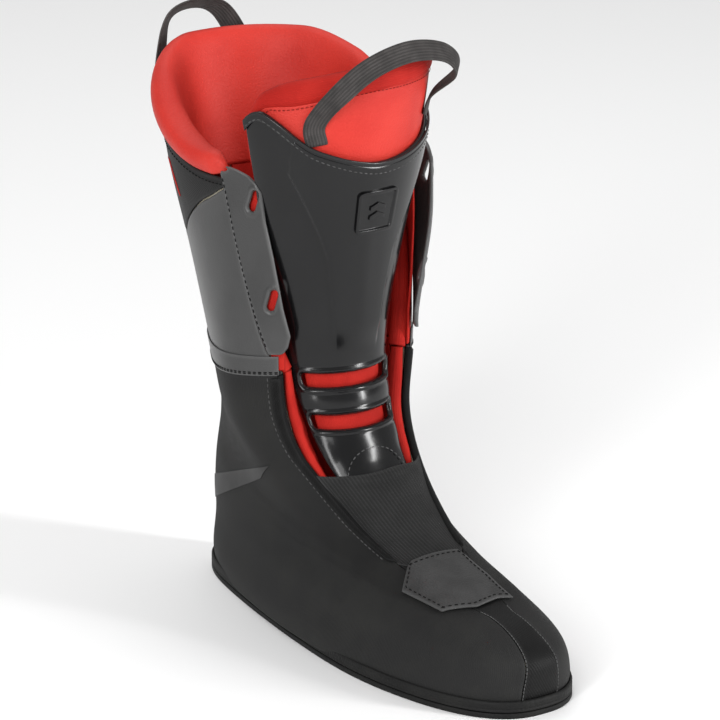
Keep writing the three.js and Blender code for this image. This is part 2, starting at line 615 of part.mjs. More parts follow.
function webbingLoop(points, directions, width) {
  const path = new THREE.CatmullRomCurve3(points, false, 'centripetal');
  return loft(steps(20).map((t) => {
    const tangent = path.getTangent(t);
    const k = t * (directions.length - 1);
    const i = Math.min(Math.floor(k), directions.length - 2);
    const wide = new THREE.Vector3(...directions[i]).lerp(new THREE.Vector3(...directions[i + 1]), k - i);
    wide.addScaledVector(tangent, -wide.dot(tangent)).normalize();
    const thick = tangent.clone().cross(wide).normalize();
    return [[1, 1], [-1, 1], [-1, -1], [1, -1]].map(([a, b]) => path.getPoint(t)
      .addScaledVector(wide, (a * width) / 2).addScaledVector(thick, (b * WEBBING) / 2));
  }));
}
const tongueTop = tonguePoint(FACE_TOP, 0);
const fromTongueTop = (x, y, z) =>
  tongueTop.clone().add(new THREE.Vector3(x * WIDTH_GRADE, y * LENGTH_GRADE, z * HEIGHT_GRADE));
const onFace = (level, across) => tongueAt(level, across, FACE_DEPTH - GAP - WEBBING / 2);
add('tongue_loop', 'webbing', webbingLoop([
  onFace(8.32, -0.5), onFace(8.75, -0.52).add(new THREE.Vector3(0, -2, 0)), fromTongueTop(-30, -4, 8),
  fromTongueTop(-12, -7, 22), fromTongueTop(12, -7, 27), fromTongueTop(36, -3, 20), fromTongueTop(50, 6, 6),
  onFace(8.75, 0.72).add(new THREE.Vector3(1, -2, 0)), onFace(8.3, 0.68),
], [[0.9, -0.4, 0], [0.7, -0.5, -0.4], [0, -0.5, -0.86], [-0.6, -0.6, -0.5], [-0.7, -0.7, 0]], TONGUE_LOOP_WIDTH));
const REAR_LOOP_HALF = 0.36;
const REAR_LOOP_RISE = 26;
const onCollar = (turn, height) => collarPoint(BACK + turn, [0, height, 1], 1.5 * GAP + WEBBING / 2);
const overCollar = (x, rise) => onCollar(0, 0.9).add(new THREE.Vector3(x, 1.5, rise));
add('rear_loop', 'webbing', webbingLoop([
  onCollar(REAR_LOOP_HALF, 0.45), onCollar(REAR_LOOP_HALF, 0.75).add(new THREE.Vector3(0, 1, 0)),
  overCollar(-17, 0.75 * REAR_LOOP_RISE), overCollar(0, REAR_LOOP_RISE), overCollar(17, 0.75 * REAR_LOOP_RISE),
  onCollar(-REAR_LOOP_HALF, 0.75).add(new THREE.Vector3(0, 1, 0)), onCollar(-REAR_LOOP_HALF, 0.45),
], [[1, 0.38, 0], [0.7, 0.6, -0.5], [0, 0.8, -0.6], [-0.7, 0.6, -0.5], [-1, 0.38, 0]], REAR_LOOP_WIDTH));

export default liner;
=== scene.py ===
"""Visual model of a removable alpine ski boot liner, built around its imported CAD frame.

Lengths are in millimetres on the liner's own form and in metres on the finished meshes. The form is a stack of
loops round the foot and leg: ``level`` counts them from the sole up, and ``angle`` runs round each one from 0 at
the front to pi at the back, with the medial side (+X) positive.
"""
from __future__ import annotations

import logging
import math
from dataclasses import dataclass
from enum import Enum
from typing import Callable, Sequence

import bpy
import numpy as np
from mathutils import Matrix, Vector


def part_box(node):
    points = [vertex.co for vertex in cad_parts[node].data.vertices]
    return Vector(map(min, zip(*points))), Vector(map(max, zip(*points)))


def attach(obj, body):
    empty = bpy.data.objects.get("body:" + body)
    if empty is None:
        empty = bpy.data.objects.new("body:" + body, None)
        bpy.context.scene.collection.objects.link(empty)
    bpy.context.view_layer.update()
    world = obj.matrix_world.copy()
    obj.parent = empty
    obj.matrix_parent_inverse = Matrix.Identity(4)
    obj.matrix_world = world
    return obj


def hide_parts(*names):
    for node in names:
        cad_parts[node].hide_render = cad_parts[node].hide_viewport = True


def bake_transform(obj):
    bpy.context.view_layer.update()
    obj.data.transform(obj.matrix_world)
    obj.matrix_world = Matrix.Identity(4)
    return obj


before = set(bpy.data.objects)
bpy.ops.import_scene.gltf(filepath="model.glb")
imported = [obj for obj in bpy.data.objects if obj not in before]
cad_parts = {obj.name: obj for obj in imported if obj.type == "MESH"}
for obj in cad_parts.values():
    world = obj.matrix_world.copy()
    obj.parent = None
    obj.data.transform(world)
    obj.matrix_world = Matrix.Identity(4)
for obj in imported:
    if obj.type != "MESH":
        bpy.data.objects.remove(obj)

LOG = logging.getLogger("liner")
MM = 0.001
BACK = math.pi
LATERAL, MEDIAL = -1, 1
SIDES = (("left", LATERAL), ("right", MEDIAL))
Array = np.ndarray
Value = float | np.ndarray
Shape = Callable[[Array], Array]
Place = Callable[[Array, Array], tuple[Array, Array]]
Field = Callable[[Array, Array], Array]


# ---------------------------------------------------------------------------------------------- small maths


def mix(a: Value, b: Value, t: Value) -> Value:
    """Value a share t of the way from a to b."""
    return a + (b - a) * t


def smooth(x: Value, a: float, b: float) -> Array:
    """Smooth step from 0 at a to 1 at b."""
    t = np.clip((x - a) / (b - a), 0, 1)
    return t * t * (3 - 2 * t)


def bump(x: Value, centre: float, half: float) -> Array:
    """Smooth hill of height 1 at centre that ends half away from it."""
    t = np.clip(1 - ((x - centre) / half) ** 2, 0, 1)
    return t * t


def along(table: Sequence[tuple[float, float]], x: Value) -> Array:
    """Value of a table of (position, value) rows, straight between them."""
    rows = np.array(table, float)
    return np.interp(x, rows[:, 0], rows[:, 1])


def curve(rows: Array, at: Value) -> Array:
    """Catmull-Rom curve through the rows of a table, where row i is at position i.

    Args:
        rows: table of shape (rows, values).
        at: positions of any shape.

    Returns:
        Values of shape (*at.shape, values).
    """
    at = np.asarray(at, float)
    last = len(rows) - 1
    i = np.clip(np.floor(at).astype(int), 0, last - 1)
    t = (at - i)[..., None]
    b, c = rows[i], rows[i + 1]
    a = np.where(i[..., None] > 0, rows[np.maximum(i - 1, 0)], 2 * b - c)
    d = np.where(i[..., None] + 2 <= last, rows[np.minimum(i + 2, last)], 2 * c - b)
    cubic = 3 * b - a - 3 * c + d
    return 0.5 * (2 * b + (c - a) * t + (2 * a - 5 * b + 4 * c - d) * t * t + cubic * t**3)


def unit(v: Array) -> Array:
    """Vectors scaled to length 1."""
    return v / np.maximum(np.linalg.norm(v, axis=-1, keepdims=True), 1e-9)


def waves(x: Array, y: Array, seed: int, count: int = 5) -> Array:
    """Soft repeatable ripples over two coordinates, roughly between -1 and 1."""
    random = np.random.default_rng(seed)
    total = np.zeros(np.broadcast(x, y).shape)
    for _ in range(count):
        fx, fy = random.uniform(-1, 1, 2)
        total = total + np.sin(fx * x + fy * y + random.uniform(0, 6.28))
    return total / count


def resample(points: Array, count: int) -> Array:
    """Points spaced evenly along a polyline."""
    run = np.concatenate([[0], np.cumsum(np.linalg.norm(np.diff(points, axis=0), axis=1))])
    want = np.linspace(0, run[-1], count)
    return np.stack([np.interp(want, run, points[:, k]) for k in range(points.shape[1])], axis=1)


def spline(points: Sequence[Sequence[float]], count: int) -> Array:
    """Smooth curve through points, evenly resampled."""
    rows = np.array(points, float)
    return resample(curve(rows, np.linspace(0, len(rows) - 1, 12 * len(rows))), count)


# ---------------------------------------------------------------------------------------------- the form


class Surface:
    """A surface of two parameters, with points at any depth under it."""

    def point(self, a: Array, b: Array) -> Array:
        """Point on the outside of the surface, in millimetres."""
        raise NotImplementedError

    def normal(self, a: Array, b: Array) -> Array:
        """Unit normal that points outwards."""
        step = 0.01
        da = self.point(a + step, b) - self.point(a - step, b)
        db = self.point(a, b + step) - self.point(a, b - step)
        return unit(np.cross(db, da))

    def at(self, a: Array, b: Array, depth: Value = 0.0) -> Array:
        """Point at a depth under the outside."""
        a, b = np.broadcast_arrays(np.asarray(a, float), np.asarray(b, float))
        return self.point(a, b) - self.normal(a, b) * np.asarray(depth)[..., None]


class Form(Surface):
    """The foot and leg, as y and z of a loop's front and back, half widths at heel and ball, and squareness."""

    LOOPS = np.array([
        [-142, 3, 140, 3, 38, 50, 2.5],
        [-145, 14, 142, 16, 39, 51, 2.5],
        [-144, 30, 143, 34, 35.5, 45, 2.4],
        [-124, 41, 145, 50, 34.5, 39, 2.3],
        [-88, 47, 144, 68, 33.5, 39, 2.2],
        [-48, 59, 140, 84, 33, 41, 2.1],
        [-13, 82, 134, 100, 35, 46, 2.0],
        [11, 109, 130, 117, 38, 53, 2.0],
        [15, 147, 131, 133, 41, 58, 2.1],
        [10, 197, 143, 190, 49.5, 57, 2.2],
        [1, 248, 157, 243, 59, 56, 2.2],
        [-5, 293, 166, 289, 62, 56, 2.2],
    ], float)
    FRONT_EDGE = ((0, 0.15), (3.4, 0.15), (4.2, 0.32), (4.62, 0.5), (5.35, 0.64), (5.95, 0.71), (6.5, 0.77),
                  (7.3, 0.78), (8.1, 0.77))
    FLAP_EDGE = ((8.2, 0.8), (8.24, 0.735), (8.3, 0.7), (8.42, 0.68), (8.72, 0.76), (9.25, 0.87), (9.62, 0.96),
                 (9.95, 1.01), (10.04, 1.06), (10.11, 1.13), (10.15, 1.22), (10.17, 1.3))
    CUFF = 8.0
    CUFF_TOP = 9.95
    FLAP_BOTTOM = 8.2
    FLAP_TOP = 10.17

    def __init__(self) -> None:
        """Grade the form to the size of the CAD foot panel."""
        self.grade = np.ones(3)
        low, high = (np.array(corner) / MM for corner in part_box("foot_panel_left"))
        level, angle = np.meshgrid(np.linspace(0.12, 7.99, 60), np.linspace(-BACK, 0, 60))
        shape = self.point(level, angle).reshape(-1, 3)
        self.grade = np.array([low[0] / shape[:, 0].min(), (high[1] - low[1]) / np.ptp(shape[:, 1]),
                               high[2] / shape[:, 2].max()])

    def point(self, a: Array, b: Array) -> Array:
        """Point at a level and an angle."""
        front_y, front_z, back_y, back_z, heel, ball, square = np.moveaxis(curve(self.LOOPS, a), -1, 0)
        cos, sin = np.cos(b), np.sin(b)
        forward = np.sign(cos) * np.abs(cos) ** (2 / square)
        side = np.sign(sin) * np.abs(sin) ** (2 / square)
        share = (forward + 1) / 2
        waist = np.where(b < 0, 0.27 * (1 - smooth(a, 2, 4)), 0)
        width = mix(heel, ball, smooth(forward + waist, -0.75, 0.45)) * side
        return np.stack([width, mix(back_y, front_y, share), mix(back_z, front_z, share)], -1) * self.grade

    def angle_at_y(self, level: Array, y: Array) -> Array:
        """Angle at which the loop of a level reaches y."""
        rows = curve(self.LOOPS, level)
        forward = 2 * (y - rows[..., 2]) / (rows[..., 0] - rows[..., 2]) - 1
        power = np.sign(forward) * np.abs(forward) ** (rows[..., 6] / 2)
        return np.arccos(np.clip(power, -1, 1))

    def front_edge(self, level: Array) -> Array:
        """Angle of the front edge of the foot's side panels."""
        return along(self.FRONT_EDGE, level)

    def flap_seam(self, level: Array) -> Array:
        """Angle of the stitched line that a flap hinges on."""
        return self.angle_at_y(level, 32 + 15 * (level - self.CUFF))

    def flap_edge(self, level: Array) -> Array:
        """Angle of a flap's free edge."""
        return along(self.FLAP_EDGE, level)

    def yoke(self, angle: Array) -> Array:
        """Level of the seam between cuff panel and yoke."""
        return mix(9.93, 9.2, np.clip((angle - 1.35) / 0.75, 0, 1))

    def collar(self, angle: Array) -> Array:
        """Level of the seam under the collar."""
        return mix(10.02, 10.25, smooth(angle, 1.5, 2.3))

    def seek(self, first: Array, second: Array, axes: tuple[int, int], level: float,
             angle: Array) -> tuple[Array, Array]:
        """Level and angle of the places that have two given coordinates.

        Args:
            first: coordinate on the first axis, in millimetres.
            second: coordinate on the second axis, in millimetres.
            axes: the two axes, as 0, 1 or 2.
            level: where the search starts.
            angle: where the search starts.

        Returns:
            Levels and angles, found by Newton steps.
        """
        i, j = axes
        a, b = np.full(np.shape(first), level), np.broadcast_to(angle, np.shape(first)).astype(float)
        for _ in range(18):
            p = self.point(a, b)
            by_a, by_b = self.point(a + 0.01, b) - p, self.point(a, b + 0.01) - p
            ri, rj = first - p[..., i], second - p[..., j]
            det = by_a[..., i] * by_b[..., j] - by_b[..., i] * by_a[..., j]
            det = np.where(np.abs(det) < 1e-6, 1e-6, det)
            a = a + np.clip(0.01 * (ri * by_b[..., j] - rj * by_b[..., i]) / det, -0.3, 0.3)
            b = b + np.clip(0.01 * (rj * by_a[..., i] - ri * by_a[..., j]) / det, -0.2, 0.2)
        return a, b

    def from_plan(self, x: Array, y: Array) -> tuple[Array, Array]:
        """Level and angle of the places on top of the foot that lie at x and y."""
        return self.seek(x, y, (0, 1), 4.0, np.sign(x) * 0.1 + np.asarray(x) * 0.015)

    def from_side(self, y: Array, z: Array, side: int) -> tuple[Array, Array]:
        """Level and angle of the places on one side of the heel that lie at y and z."""
        return self.seek(y, z, (1, 2), 4.0, side * np.full(np.shape(y), 2.0))


class TongueForm(Surface):
    """The tongue, as y and z of its ridge, half width, and how far its edges lie behind the ridge."""

    SECTIONS = np.array([
        [-19.5, 75, 18, 5],
        [-8, 83, 21, 8],
        [5, 101, 24.5, 12],
        [12.5, 122, 26, 14],
        [15, 147, 28.5, 16],
        [13, 180, 33.5, 19],
        [9, 212, 41, 23],
        [3, 245, 47, 28],
        [-1.5, 272, 52, 33],
        [-4, 292, 55, 37],
        [-5, 304, 55, 38],
    ], float)
    WRAP = 1.25
    LIP = 7.55
    TOP = 9.5
    SHIFT = ((1, 0), (3, -2), (4.5, -3.5), (6, -3), (8, -1.5), (9.5, 0))
    LATERAL_EDGE = ((0, -1.0), (2, -1.03), (3, -1.12), (4, -1.22), (5.5, -1.2), (7, -1.15), (8.5, -1.12))

    def __init__(self, grade: Array) -> None:
        """Take the foot form's grade."""
        self.grade = grade

    def point(self, a: Array, b: Array) -> Array:
        """Point at a level and a share across, from -1 to 1."""
        ridge_y, ridge_z, half, depth = np.moveaxis(curve(self.SECTIONS, a), -1, 0)
        turn = b * self.WRAP
        x = half * np.sin(turn) / math.sin(self.WRAP) + along(self.SHIFT, a)
        y = ridge_y + depth * (1 - np.cos(turn)) / (1 - math.cos(self.WRAP))
        return np.stack([x, y, ridge_z + 0 * turn], -1) * self.grade

    def lip(self, across: Array) -> Array:
        """Level of the shell's upper edge."""
        corner = 0.32 * smooth(-across, 0.5, 0.92) - 8 * np.maximum(-across - 0.93, 0) ** 1.5
        return self.LIP + 0.85 * np.abs(across) ** 1.7 - 0.24 * across + corner

    def crest(self, across: Array) -> Array:
        """Level of the top of the face, which drops towards the lateral side."""
        return self.TOP - 0.7 * smooth(-across, 0, 0.85)

    def share(self, level: Array, v: Array) -> Array:
        """Share across at a column of the shell, which wraps further round on the lateral side."""
        return mix(along(self.LATERAL_EDGE, level), 1.0, v)


# ---------------------------------------------------------------------------------------------- meshes


def make_object(name: str, points: Array, faces: Sequence, uv: Array | None = None,
                rim: Array | None = None) -> bpy.types.Object:
    """Make a smooth mesh object from points in millimetres.

    Args:
        name: name of the piece.
        points: (n, 3) places in millimetres.
        faces: vertex indices of each face.
        uv: (n, 2) texture places in metres, or None.
        rim: (n,) closeness to an edge from 0 to 1, or None.

    Returns:
        The new object, linked to the scene.
    """
    mesh = bpy.data.meshes.new(name)
    mesh.from_pydata((np.asarray(points) * MM).tolist(), [], [list(map(int, f)) for f in faces])
    if uv is not None:
        layer = mesh.uv_layers.new(name="UVMap")
        index = np.zeros(len(mesh.loops), int)
        mesh.loops.foreach_get("vertex_index", index)
        layer.data.foreach_set("uv", np.asarray(uv)[index].ravel().astype(np.float32))
    attribute = mesh.attributes.new("rim", "FLOAT", "POINT")
    attribute.data.foreach_set("value", (np.zeros(len(points)) if rim is None else rim).astype(np.float32))
    mesh.polygons.foreach_set("use_smooth", [True] * len(mesh.polygons))
    mesh.validate()
    face_out(mesh)
    obj = bpy.data.objects.new(name, mesh)
    bpy.context.scene.collection.objects.link(obj)
    return obj


def face_out(mesh: bpy.types.Mesh) -> None:
    """Turn a closed mesh's faces outwards, by the sign of its volume."""
    mesh.calc_loop_triangles()
    co = np.zeros(len(mesh.vertices) * 3)
    mesh.vertices.foreach_get("co", co)
    index = np.zeros(len(mesh.loop_triangles) * 3, int)
    mesh.loop_triangles.foreach_get("vertices", index)
    a, b, c = np.moveaxis(co.reshape(-1, 3)[index.reshape(-1, 3)], 1, 0)
    if np.einsum("ij,ij->i", a, np.cross(b, c)).sum() < 0:
        mesh.flip_normals()


def graded(count: int, edge: float) -> Array:
    """Shares from 0 to 1 that crowd towards both ends, where an edge of that share is rounded."""
    fine = np.array([0, 0.04, 0.16, 0.36, 0.64, 1.0]) * edge
    return np.concatenate([fine, np.linspace(edge, 1 - edge, count)[1:-1], 1 - fine[::-1]])


def run_length(points: Array, axis: int) -> Array:
    """Length run along one axis of a grid of points."""
    step = np.linalg.norm(np.diff(points, axis=axis), axis=-1)
    start = np.zeros_like(np.take(step, [0], axis))
    return np.concatenate([start, np.cumsum(step, axis)], axis)


def edge_distance(points: Array, corner: float) -> Array:
    """Distance of each grid point to the nearest of the four edges, with corners rounded off."""
    distances = []
    for axis in (0, 1):
        run = run_length(points, axis)
        distances.append(np.minimum(run, np.take(run, [-1], axis) - run))
    du, dv = (np.maximum(corner - d, 0) for d in distances)
    near = np.minimum(*distances)
    return np.where((du > 0) & (dv > 0), np.maximum(corner - np.hypot(du, dv), 0), near)


def level_rise(height: float) -> Field:
    """Relief of one height all over a piece, within its rounded edges."""
    def rise(a: Array, b: Array) -> Array:
        """The height at each place."""
        return height + 0 * a
    return rise


@dataclass
class Slab:
    """A layer of cloth, foam or plastic with rounded edges, laid on a surface.

    Attributes:
        surface: what it lies on.
        place: from shares u (rows) and v (columns) to the surface's two parameters.
        outer: depth of its outer face, in millimetres. Below 0 it stands proud.
        thickness: from face to face.
        rows: number of rows.
        columns: number of columns.
        edge: how far from the edge the rounding starts, half the thickness where it is None.
        relief: extra height of the outer face at (a, b), or None.
        hole: distance outside of a hole at (a, b), negative inside it, or None.
        lift: extra height of the whole layer at (a, b), or None.
        backing: extra thickness of the inner face at (a, b), or None.
    """

    surface: Surface
    place: Place
    outer: float
    thickness: float
    rows: int = 60
    columns: int = 60
    edge: float | None = None
    relief: Field | None = None
    hole: Field | None = None
    lift: Field | None = None
    backing: Field | None = None

    def grid(self) -> tuple[Array, Array]:
        """Parameters of the grid, with rows and columns crowded at the edges."""
        edge = self.edge or self.thickness / 2
        coarse = self.surface.at(*self.place(*np.meshgrid(np.linspace(0, 1, 9), np.linspace(0, 1, 9), indexing="ij")))
        shares = [min(0.3, edge / run_length(coarse, axis).max()) for axis in (0, 1)]
        u, v = np.meshgrid(graded(self.rows, shares[0]), graded(self.columns, shares[1]), indexing="ij")
        return self.place(u, v)

    def snap(self, a: Array, b: Array) -> tuple[Array, Array, Array]:
        """Move the grid onto the rim of a hole and return it with the mask of faces to keep."""
        def cell(grid: Array) -> Array:
            """Middle of each cell."""
            return (grid[:-1, :-1] + grid[1:, :-1] + grid[:-1, 1:] + grid[1:, 1:]) / 4

        keep = self.hole(cell(a), cell(b)) > 0
        padded = np.pad(keep, 1, constant_values=True)
        touching = np.stack([padded[:-1, :-1], padded[1:, :-1], padded[:-1, 1:], padded[1:, 1:]])
        rim = touching.any(0) & ~touching.all(0)
        for _ in range(4):
            here = self.hole(a, b)
            ga = (self.hole(a + 1e-3, b) - here) / 1e-3
            gb = (self.hole(a, b + 1e-3) - here) / 1e-3
            step = np.where(rim, here / np.maximum(ga**2 + gb**2, 1e-6), 0)
            a, b = a - step * ga, b - step * gb
        return a, b, keep

    def build(self, name: str) -> bpy.types.Object:
        """Make the closed mesh."""
        a, b = self.grid()
        keep = np.ones((a.shape[0] - 1, a.shape[1] - 1), bool)
        if self.hole:
            a, b, keep = self.snap(a, b)
        edge = self.edge or self.thickness / 2
        middle = self.surface.at(a, b, self.outer + self.thickness / 2)
        normal = self.surface.normal(a, b)
        if self.lift:
            middle = middle + normal * self.lift(a, b)[..., None]
        distance = edge_distance(middle, edge)
        if self.hole:
            distance = np.minimum(distance, np.maximum(self.hole(a, b), 0))
        share = 1 - np.clip(distance / edge, 0, 1)
        half = self.thickness / 2 * np.sqrt(np.maximum(1 - share**2, 0))
        swell = self.relief(a, b) * smooth(distance, 0, 2 * edge) if self.relief else 0
        under = self.backing(a, b) * smooth(distance, 0, 2 * edge) if self.backing else 0
        outside = middle + normal * (half + swell)[..., None]
        inside = middle - normal * (half + under)[..., None]
        rows, columns = a.shape
        ids = np.arange(rows * columns).reshape(rows, columns)
        shared = half < 1e-6
        inner_ids = np.where(shared, ids, ids + rows * columns)
        faces = []
        for i, j in zip(*np.nonzero(keep)):
            corners = ((i, j), (i + 1, j), (i + 1, j + 1), (i, j + 1))
            faces.append([ids[c] for c in corners])
            faces.append([inner_ids[c] for c in reversed(corners)])
        uv = np.stack([run_length(middle, 1), run_length(middle, 0)], -1).reshape(-1, 2) * MM
        rim = smooth(-distance, -2.2, -0.2).ravel()
        points = np.concatenate([outside.reshape(-1, 3), inside.reshape(-1, 3)])
        used = np.unique(np.concatenate([np.array(faces).ravel()]))
        renumber = np.zeros(len(points), int)
        renumber[used] = np.arange(len(used))
        return make_object(name, points[used], renumber[np.array(faces)], np.tile(uv, (2, 1))[used],
                           np.tile(rim, 2)[used])


def tube(name: str, sections: Array) -> bpy.types.Object:
    """Closed solid through sections of equal count, with uv along and round it.

    Args:
        name: name of the piece.
        sections: (stations, points, 3) in millimetres.

    Returns:
        The new object.
    """
    stations, count = sections.shape[:2]
    ids = np.arange(stations * count).reshape(stations, count)
    following = np.roll(ids, -1, axis=1)
    faces = np.stack([ids[:-1], following[:-1], following[1:], ids[1:]], -1).reshape(-1, 4).tolist()
    points = sections.reshape(-1, 3)
    for station, ring in ((0, ids[0][::-1]), (-1, ids[-1])):
        centre = len(points)
        points = np.vstack([points, sections[station].mean(0)])
        faces += [[centre, ring[k], ring[(k + 1) % count]] for k in range(count)]
    long = run_length(sections, 0).mean(1)
    around = np.linspace(0, run_length(sections, 1).max(), count)
    uv = np.stack(np.meshgrid(around, long), -1).reshape(-1, 2) * MM
    uv = np.vstack([uv, np.zeros((len(points) - len(uv), 2))])
    return make_object(name, points, faces, uv)


def ribbon(name: str, path: Array, wide: Array, width: float, thickness: float) -> bpy.types.Object:
    """Webbing along a path, with the direction of its width at each point and woven, rounded selvedges."""
    tangent = unit(np.gradient(path, axis=0))
    wide = unit(wide - tangent * np.einsum("ij,ij->i", wide, tangent)[:, None])
    thick = np.cross(tangent, wide)
    turn = np.linspace(0, 2 * np.pi, 28, endpoint=False)
    x = np.sign(np.cos(turn)) * np.abs(np.cos(turn)) ** 0.5 * width / 2
    z = np.sign(np.sin(turn)) * np.abs(np.sin(turn)) ** 0.6 * thickness / 2
    sections = path[:, None] + wide[:, None] * x[None, :, None] + thick[:, None] * z[None, :, None]
    obj = tube(name, sections)
    layer = obj.data.uv_layers["UVMap"]
    index = np.zeros(len(obj.data.loops), int)
    obj.data.loops.foreach_get("vertex_index", index)
    across = np.append(np.tile(x, len(path)), [0, 0])
    long = run_length(path[:, None], 0)[:, 0]
    along_it = np.append(np.repeat(long, len(turn)), [0, long[-1]])
    layer.data.foreach_set("uv", (np.stack([across, along_it], -1)[index] * MM).ravel().astype(np.float32))
    return obj


def cord_roll(name: str, surface: Surface, level: Array, angle: Array, depth: Array, wide: Array,
              deep: Array) -> bpy.types.Object:
    """Padded roll or piping that runs along a surface.

    Args:
        name: name of the piece.
        surface: what it runs along.
        level: first parameter along it.
        angle: second parameter along it.
        depth: of its middle under the surface.
        wide: half width along the surface.
        deep: half width through the surface.

    Returns:
        The new object.
    """
    out = surface.normal(level, angle)
    centre = surface.at(level, angle, depth)
    tangent = unit(np.gradient(centre, axis=0))
    across = unit(np.cross(out, tangent))
    out = np.cross(tangent, across)
    turn = np.linspace(0, 2 * np.pi, 24, endpoint=False)
    crease = 1 + 0.03 * waves(np.arange(len(level))[:, None] * 0.9, turn[None, :] * 2, 4)
    ring = (across[:, None] * (np.cos(turn)[None, :] * wide[:, None] * crease)[..., None]
            + out[:, None] * (np.sin(turn)[None, :] * deep[:, None] * crease)[..., None])
    return tube(name, centre[:, None] + ring)


def stitches(name: str, rows: Sequence[tuple[Array, Array]], pitch: float = 3.0, length: float = 2.1,
             radius: float = 0.32) -> bpy.types.Object:
    """Rows of thread stitches, each a small raised bead of thread.

    Args:
        name: name of the piece.
        rows: pairs of a polyline and its normals, in millimetres.
        pitch: from one stitch to the next.
        length: of one stitch.
        radius: of the thread.

    Returns:
        One object that holds every stitch.
    """
    stations = np.array([-0.5, -0.36, 0, 0.36, 0.5]) * length
    swell = np.array([0.25, 0.9, 1, 0.9, 0.25]) * radius
    turn = np.linspace(0, 2 * np.pi, 6, endpoint=False)
    m, n = len(turn), len(stations)
    bead = [[i * m + k, i * m + (k + 1) % m, (i + 1) * m + (k + 1) % m, (i + 1) * m + k]
            for i in range(n - 1) for k in range(m)]
    bead += [list(reversed(range(m))), [(n - 1) * m + k for k in range(m)]]
    points, faces = [], []
    for line, normals in rows:
        count = max(2, int(np.linalg.norm(np.diff(line, axis=0), axis=1).sum() / pitch))
        both = resample(np.hstack([line, normals * 1e-6]), count)
        centre, normal = both[:, :3], unit(both[:, 3:] * 1e6)
        tangent = unit(np.gradient(centre, axis=0))
        side = np.cross(normal, tangent)
        for c, t, s, up in zip(centre, tangent, side, normal):
            faces += [[len(points) * m * n + k for k in face] for face in bead]
            spine = c + t * stations[:, None] + up * (swell * 0.9 - 0.18)[:, None]
            ring = s * np.cos(turn)[None, :, None] + up * np.sin(turn)[None, :, None]
            points.append((spine[:, None] + ring * swell[:, None, None]).reshape(-1, 3))
    return make_object(name, np.vstack(points), faces)


def seam_row(surface: Surface, place: Place, u: float | tuple[float, float], v: float | tuple[float, float],
             depth: float, count: int = 120) -> tuple[Array, Array]:
    """Line on a surface with its normals, for a row of stitches.

    Args:
        surface: what the seam lies on.
        place: from shares to the surface's parameters.
        u: share of the rows, a number or a pair to run between.
        v: share of the columns, a number or a pair to run between.
        depth: under the outside of the surface.
        count: points along the line.

    Returns:
        Points and normals.
    """
    def run(share: float | tuple[float, float]) -> Array:
        """Shares along the line."""
        return np.linspace(*share, count) if isinstance(share, tuple) else np.full(count, float(share))

    a, b = place(run(u), run(v))
    normal = surface.normal(a, b)
    return surface.point(a, b) - normal * depth, normal


# ---------------------------------------------------------------------------------------------- finishes


def linear(colour: Sequence[float]) -> tuple[float, float, float, float]:
    """Colour from 8-bit display values to the renderer's linear ones."""
    c = np.array(colour, float) / 255
    low, high = c / 12.92, ((c + 0.055) / 1.055) ** 2.4
    return (*map(float, np.where(c <= 0.04045, low, high)), 1.0)


class Number:
    """A number inside a shader that takes part in arithmetic."""

    def __init__(self, shader: Shader, socket: bpy.types.NodeSocket) -> None:
        """Wrap an output socket."""
        self.shader, self.socket = shader, socket

    def math(self, operation: str, *others: Number | float) -> Number:
        """Result of a Math node on this number and others."""
        node = self.shader.node("ShaderNodeMath", {"operation": operation}, {0: self, **dict(enumerate(others, 1))})
        return Number(self.shader, node.outputs[0])

    def __add__(self, other: Number | float) -> Number:
        """Sum."""
        return self.math("ADD", other)

    def __rsub__(self, other: float) -> Number:
        """Difference from a plain number."""
        return self * -1 + other

    def __mul__(self, other: Number | float) -> Number:
        """Product."""
        return self.math("MULTIPLY", other)

    __radd__, __rmul__ = __add__, __mul__

    def wave(self, period: float) -> Number:
        """Sine of this length with a period, from 0 to 1."""
        return (self * (2 * math.pi / period)).math("SINE") * 0.5 + 0.5

    def between(self, low: float, high: float) -> Number:
        """Share from 0 to 1 of the way from low to high, clamped and smoothed."""
        node = self.shader.node("ShaderNodeMapRange", {"interpolation_type": "SMOOTHSTEP"},
                                {"Value": self, "From Min": low, "From Max": high})
        return Number(self.shader, node.outputs[0])


class Shader:
    """A material under construction."""

    def __init__(self, name: str) -> None:
        """Start from a Principled surface alone."""
        self.material = bpy.data.materials.new(name)
        self.material.use_nodes = True
        self.tree = self.material.node_tree
        self.surface = self.tree.nodes["Principled BSDF"]

    def node(self, kind: str, settings: dict | None = None, inputs: dict | None = None) -> bpy.types.Node:
        """Add a node.

        Args:
            kind: its type name.
            settings: its properties.
            inputs: values, sockets or Numbers for its inputs, by name or place.

        Returns:
            The node.
        """
        node = self.tree.nodes.new(kind)
        for key, value in (settings or {}).items():
            setattr(node, key, value)
        for key, value in (inputs or {}).items():
            value = value.socket if isinstance(value, Number) else value
            if isinstance(value, bpy.types.NodeSocket):
                self.tree.links.new(value, node.inputs[key])
            else:
                node.inputs[key].default_value = value
        return node

    def noise(self, where: bpy.types.NodeSocket, size: float, detail: float = 3) -> Number:
        """Noise from 0 to 1 with features of a size in metres."""
        node = self.node("ShaderNodeTexNoise", {}, {"Vector": where, "Scale": 1 / size, "Detail": detail})
        return Number(self, node.outputs[0])

    def cells(self, where: bpy.types.NodeSocket, size: float) -> Number:
        """Distance to the middle of the nearest cell of a size in metres."""
        node = self.node("ShaderNodeTexVoronoi", {}, {"Vector": where, "Scale": 1 / size})
        return Number(self, node.outputs["Distance"])

    def blend(self, share: Number, first: Sequence[float] | bpy.types.NodeSocket,
              second: Sequence[float]) -> bpy.types.NodeSocket:
        """Colour mixed from first to second."""
        node = self.node("ShaderNodeMix", {"data_type": "RGBA"}, {0: share, 6: first, 7: second})
        return node.outputs[2]


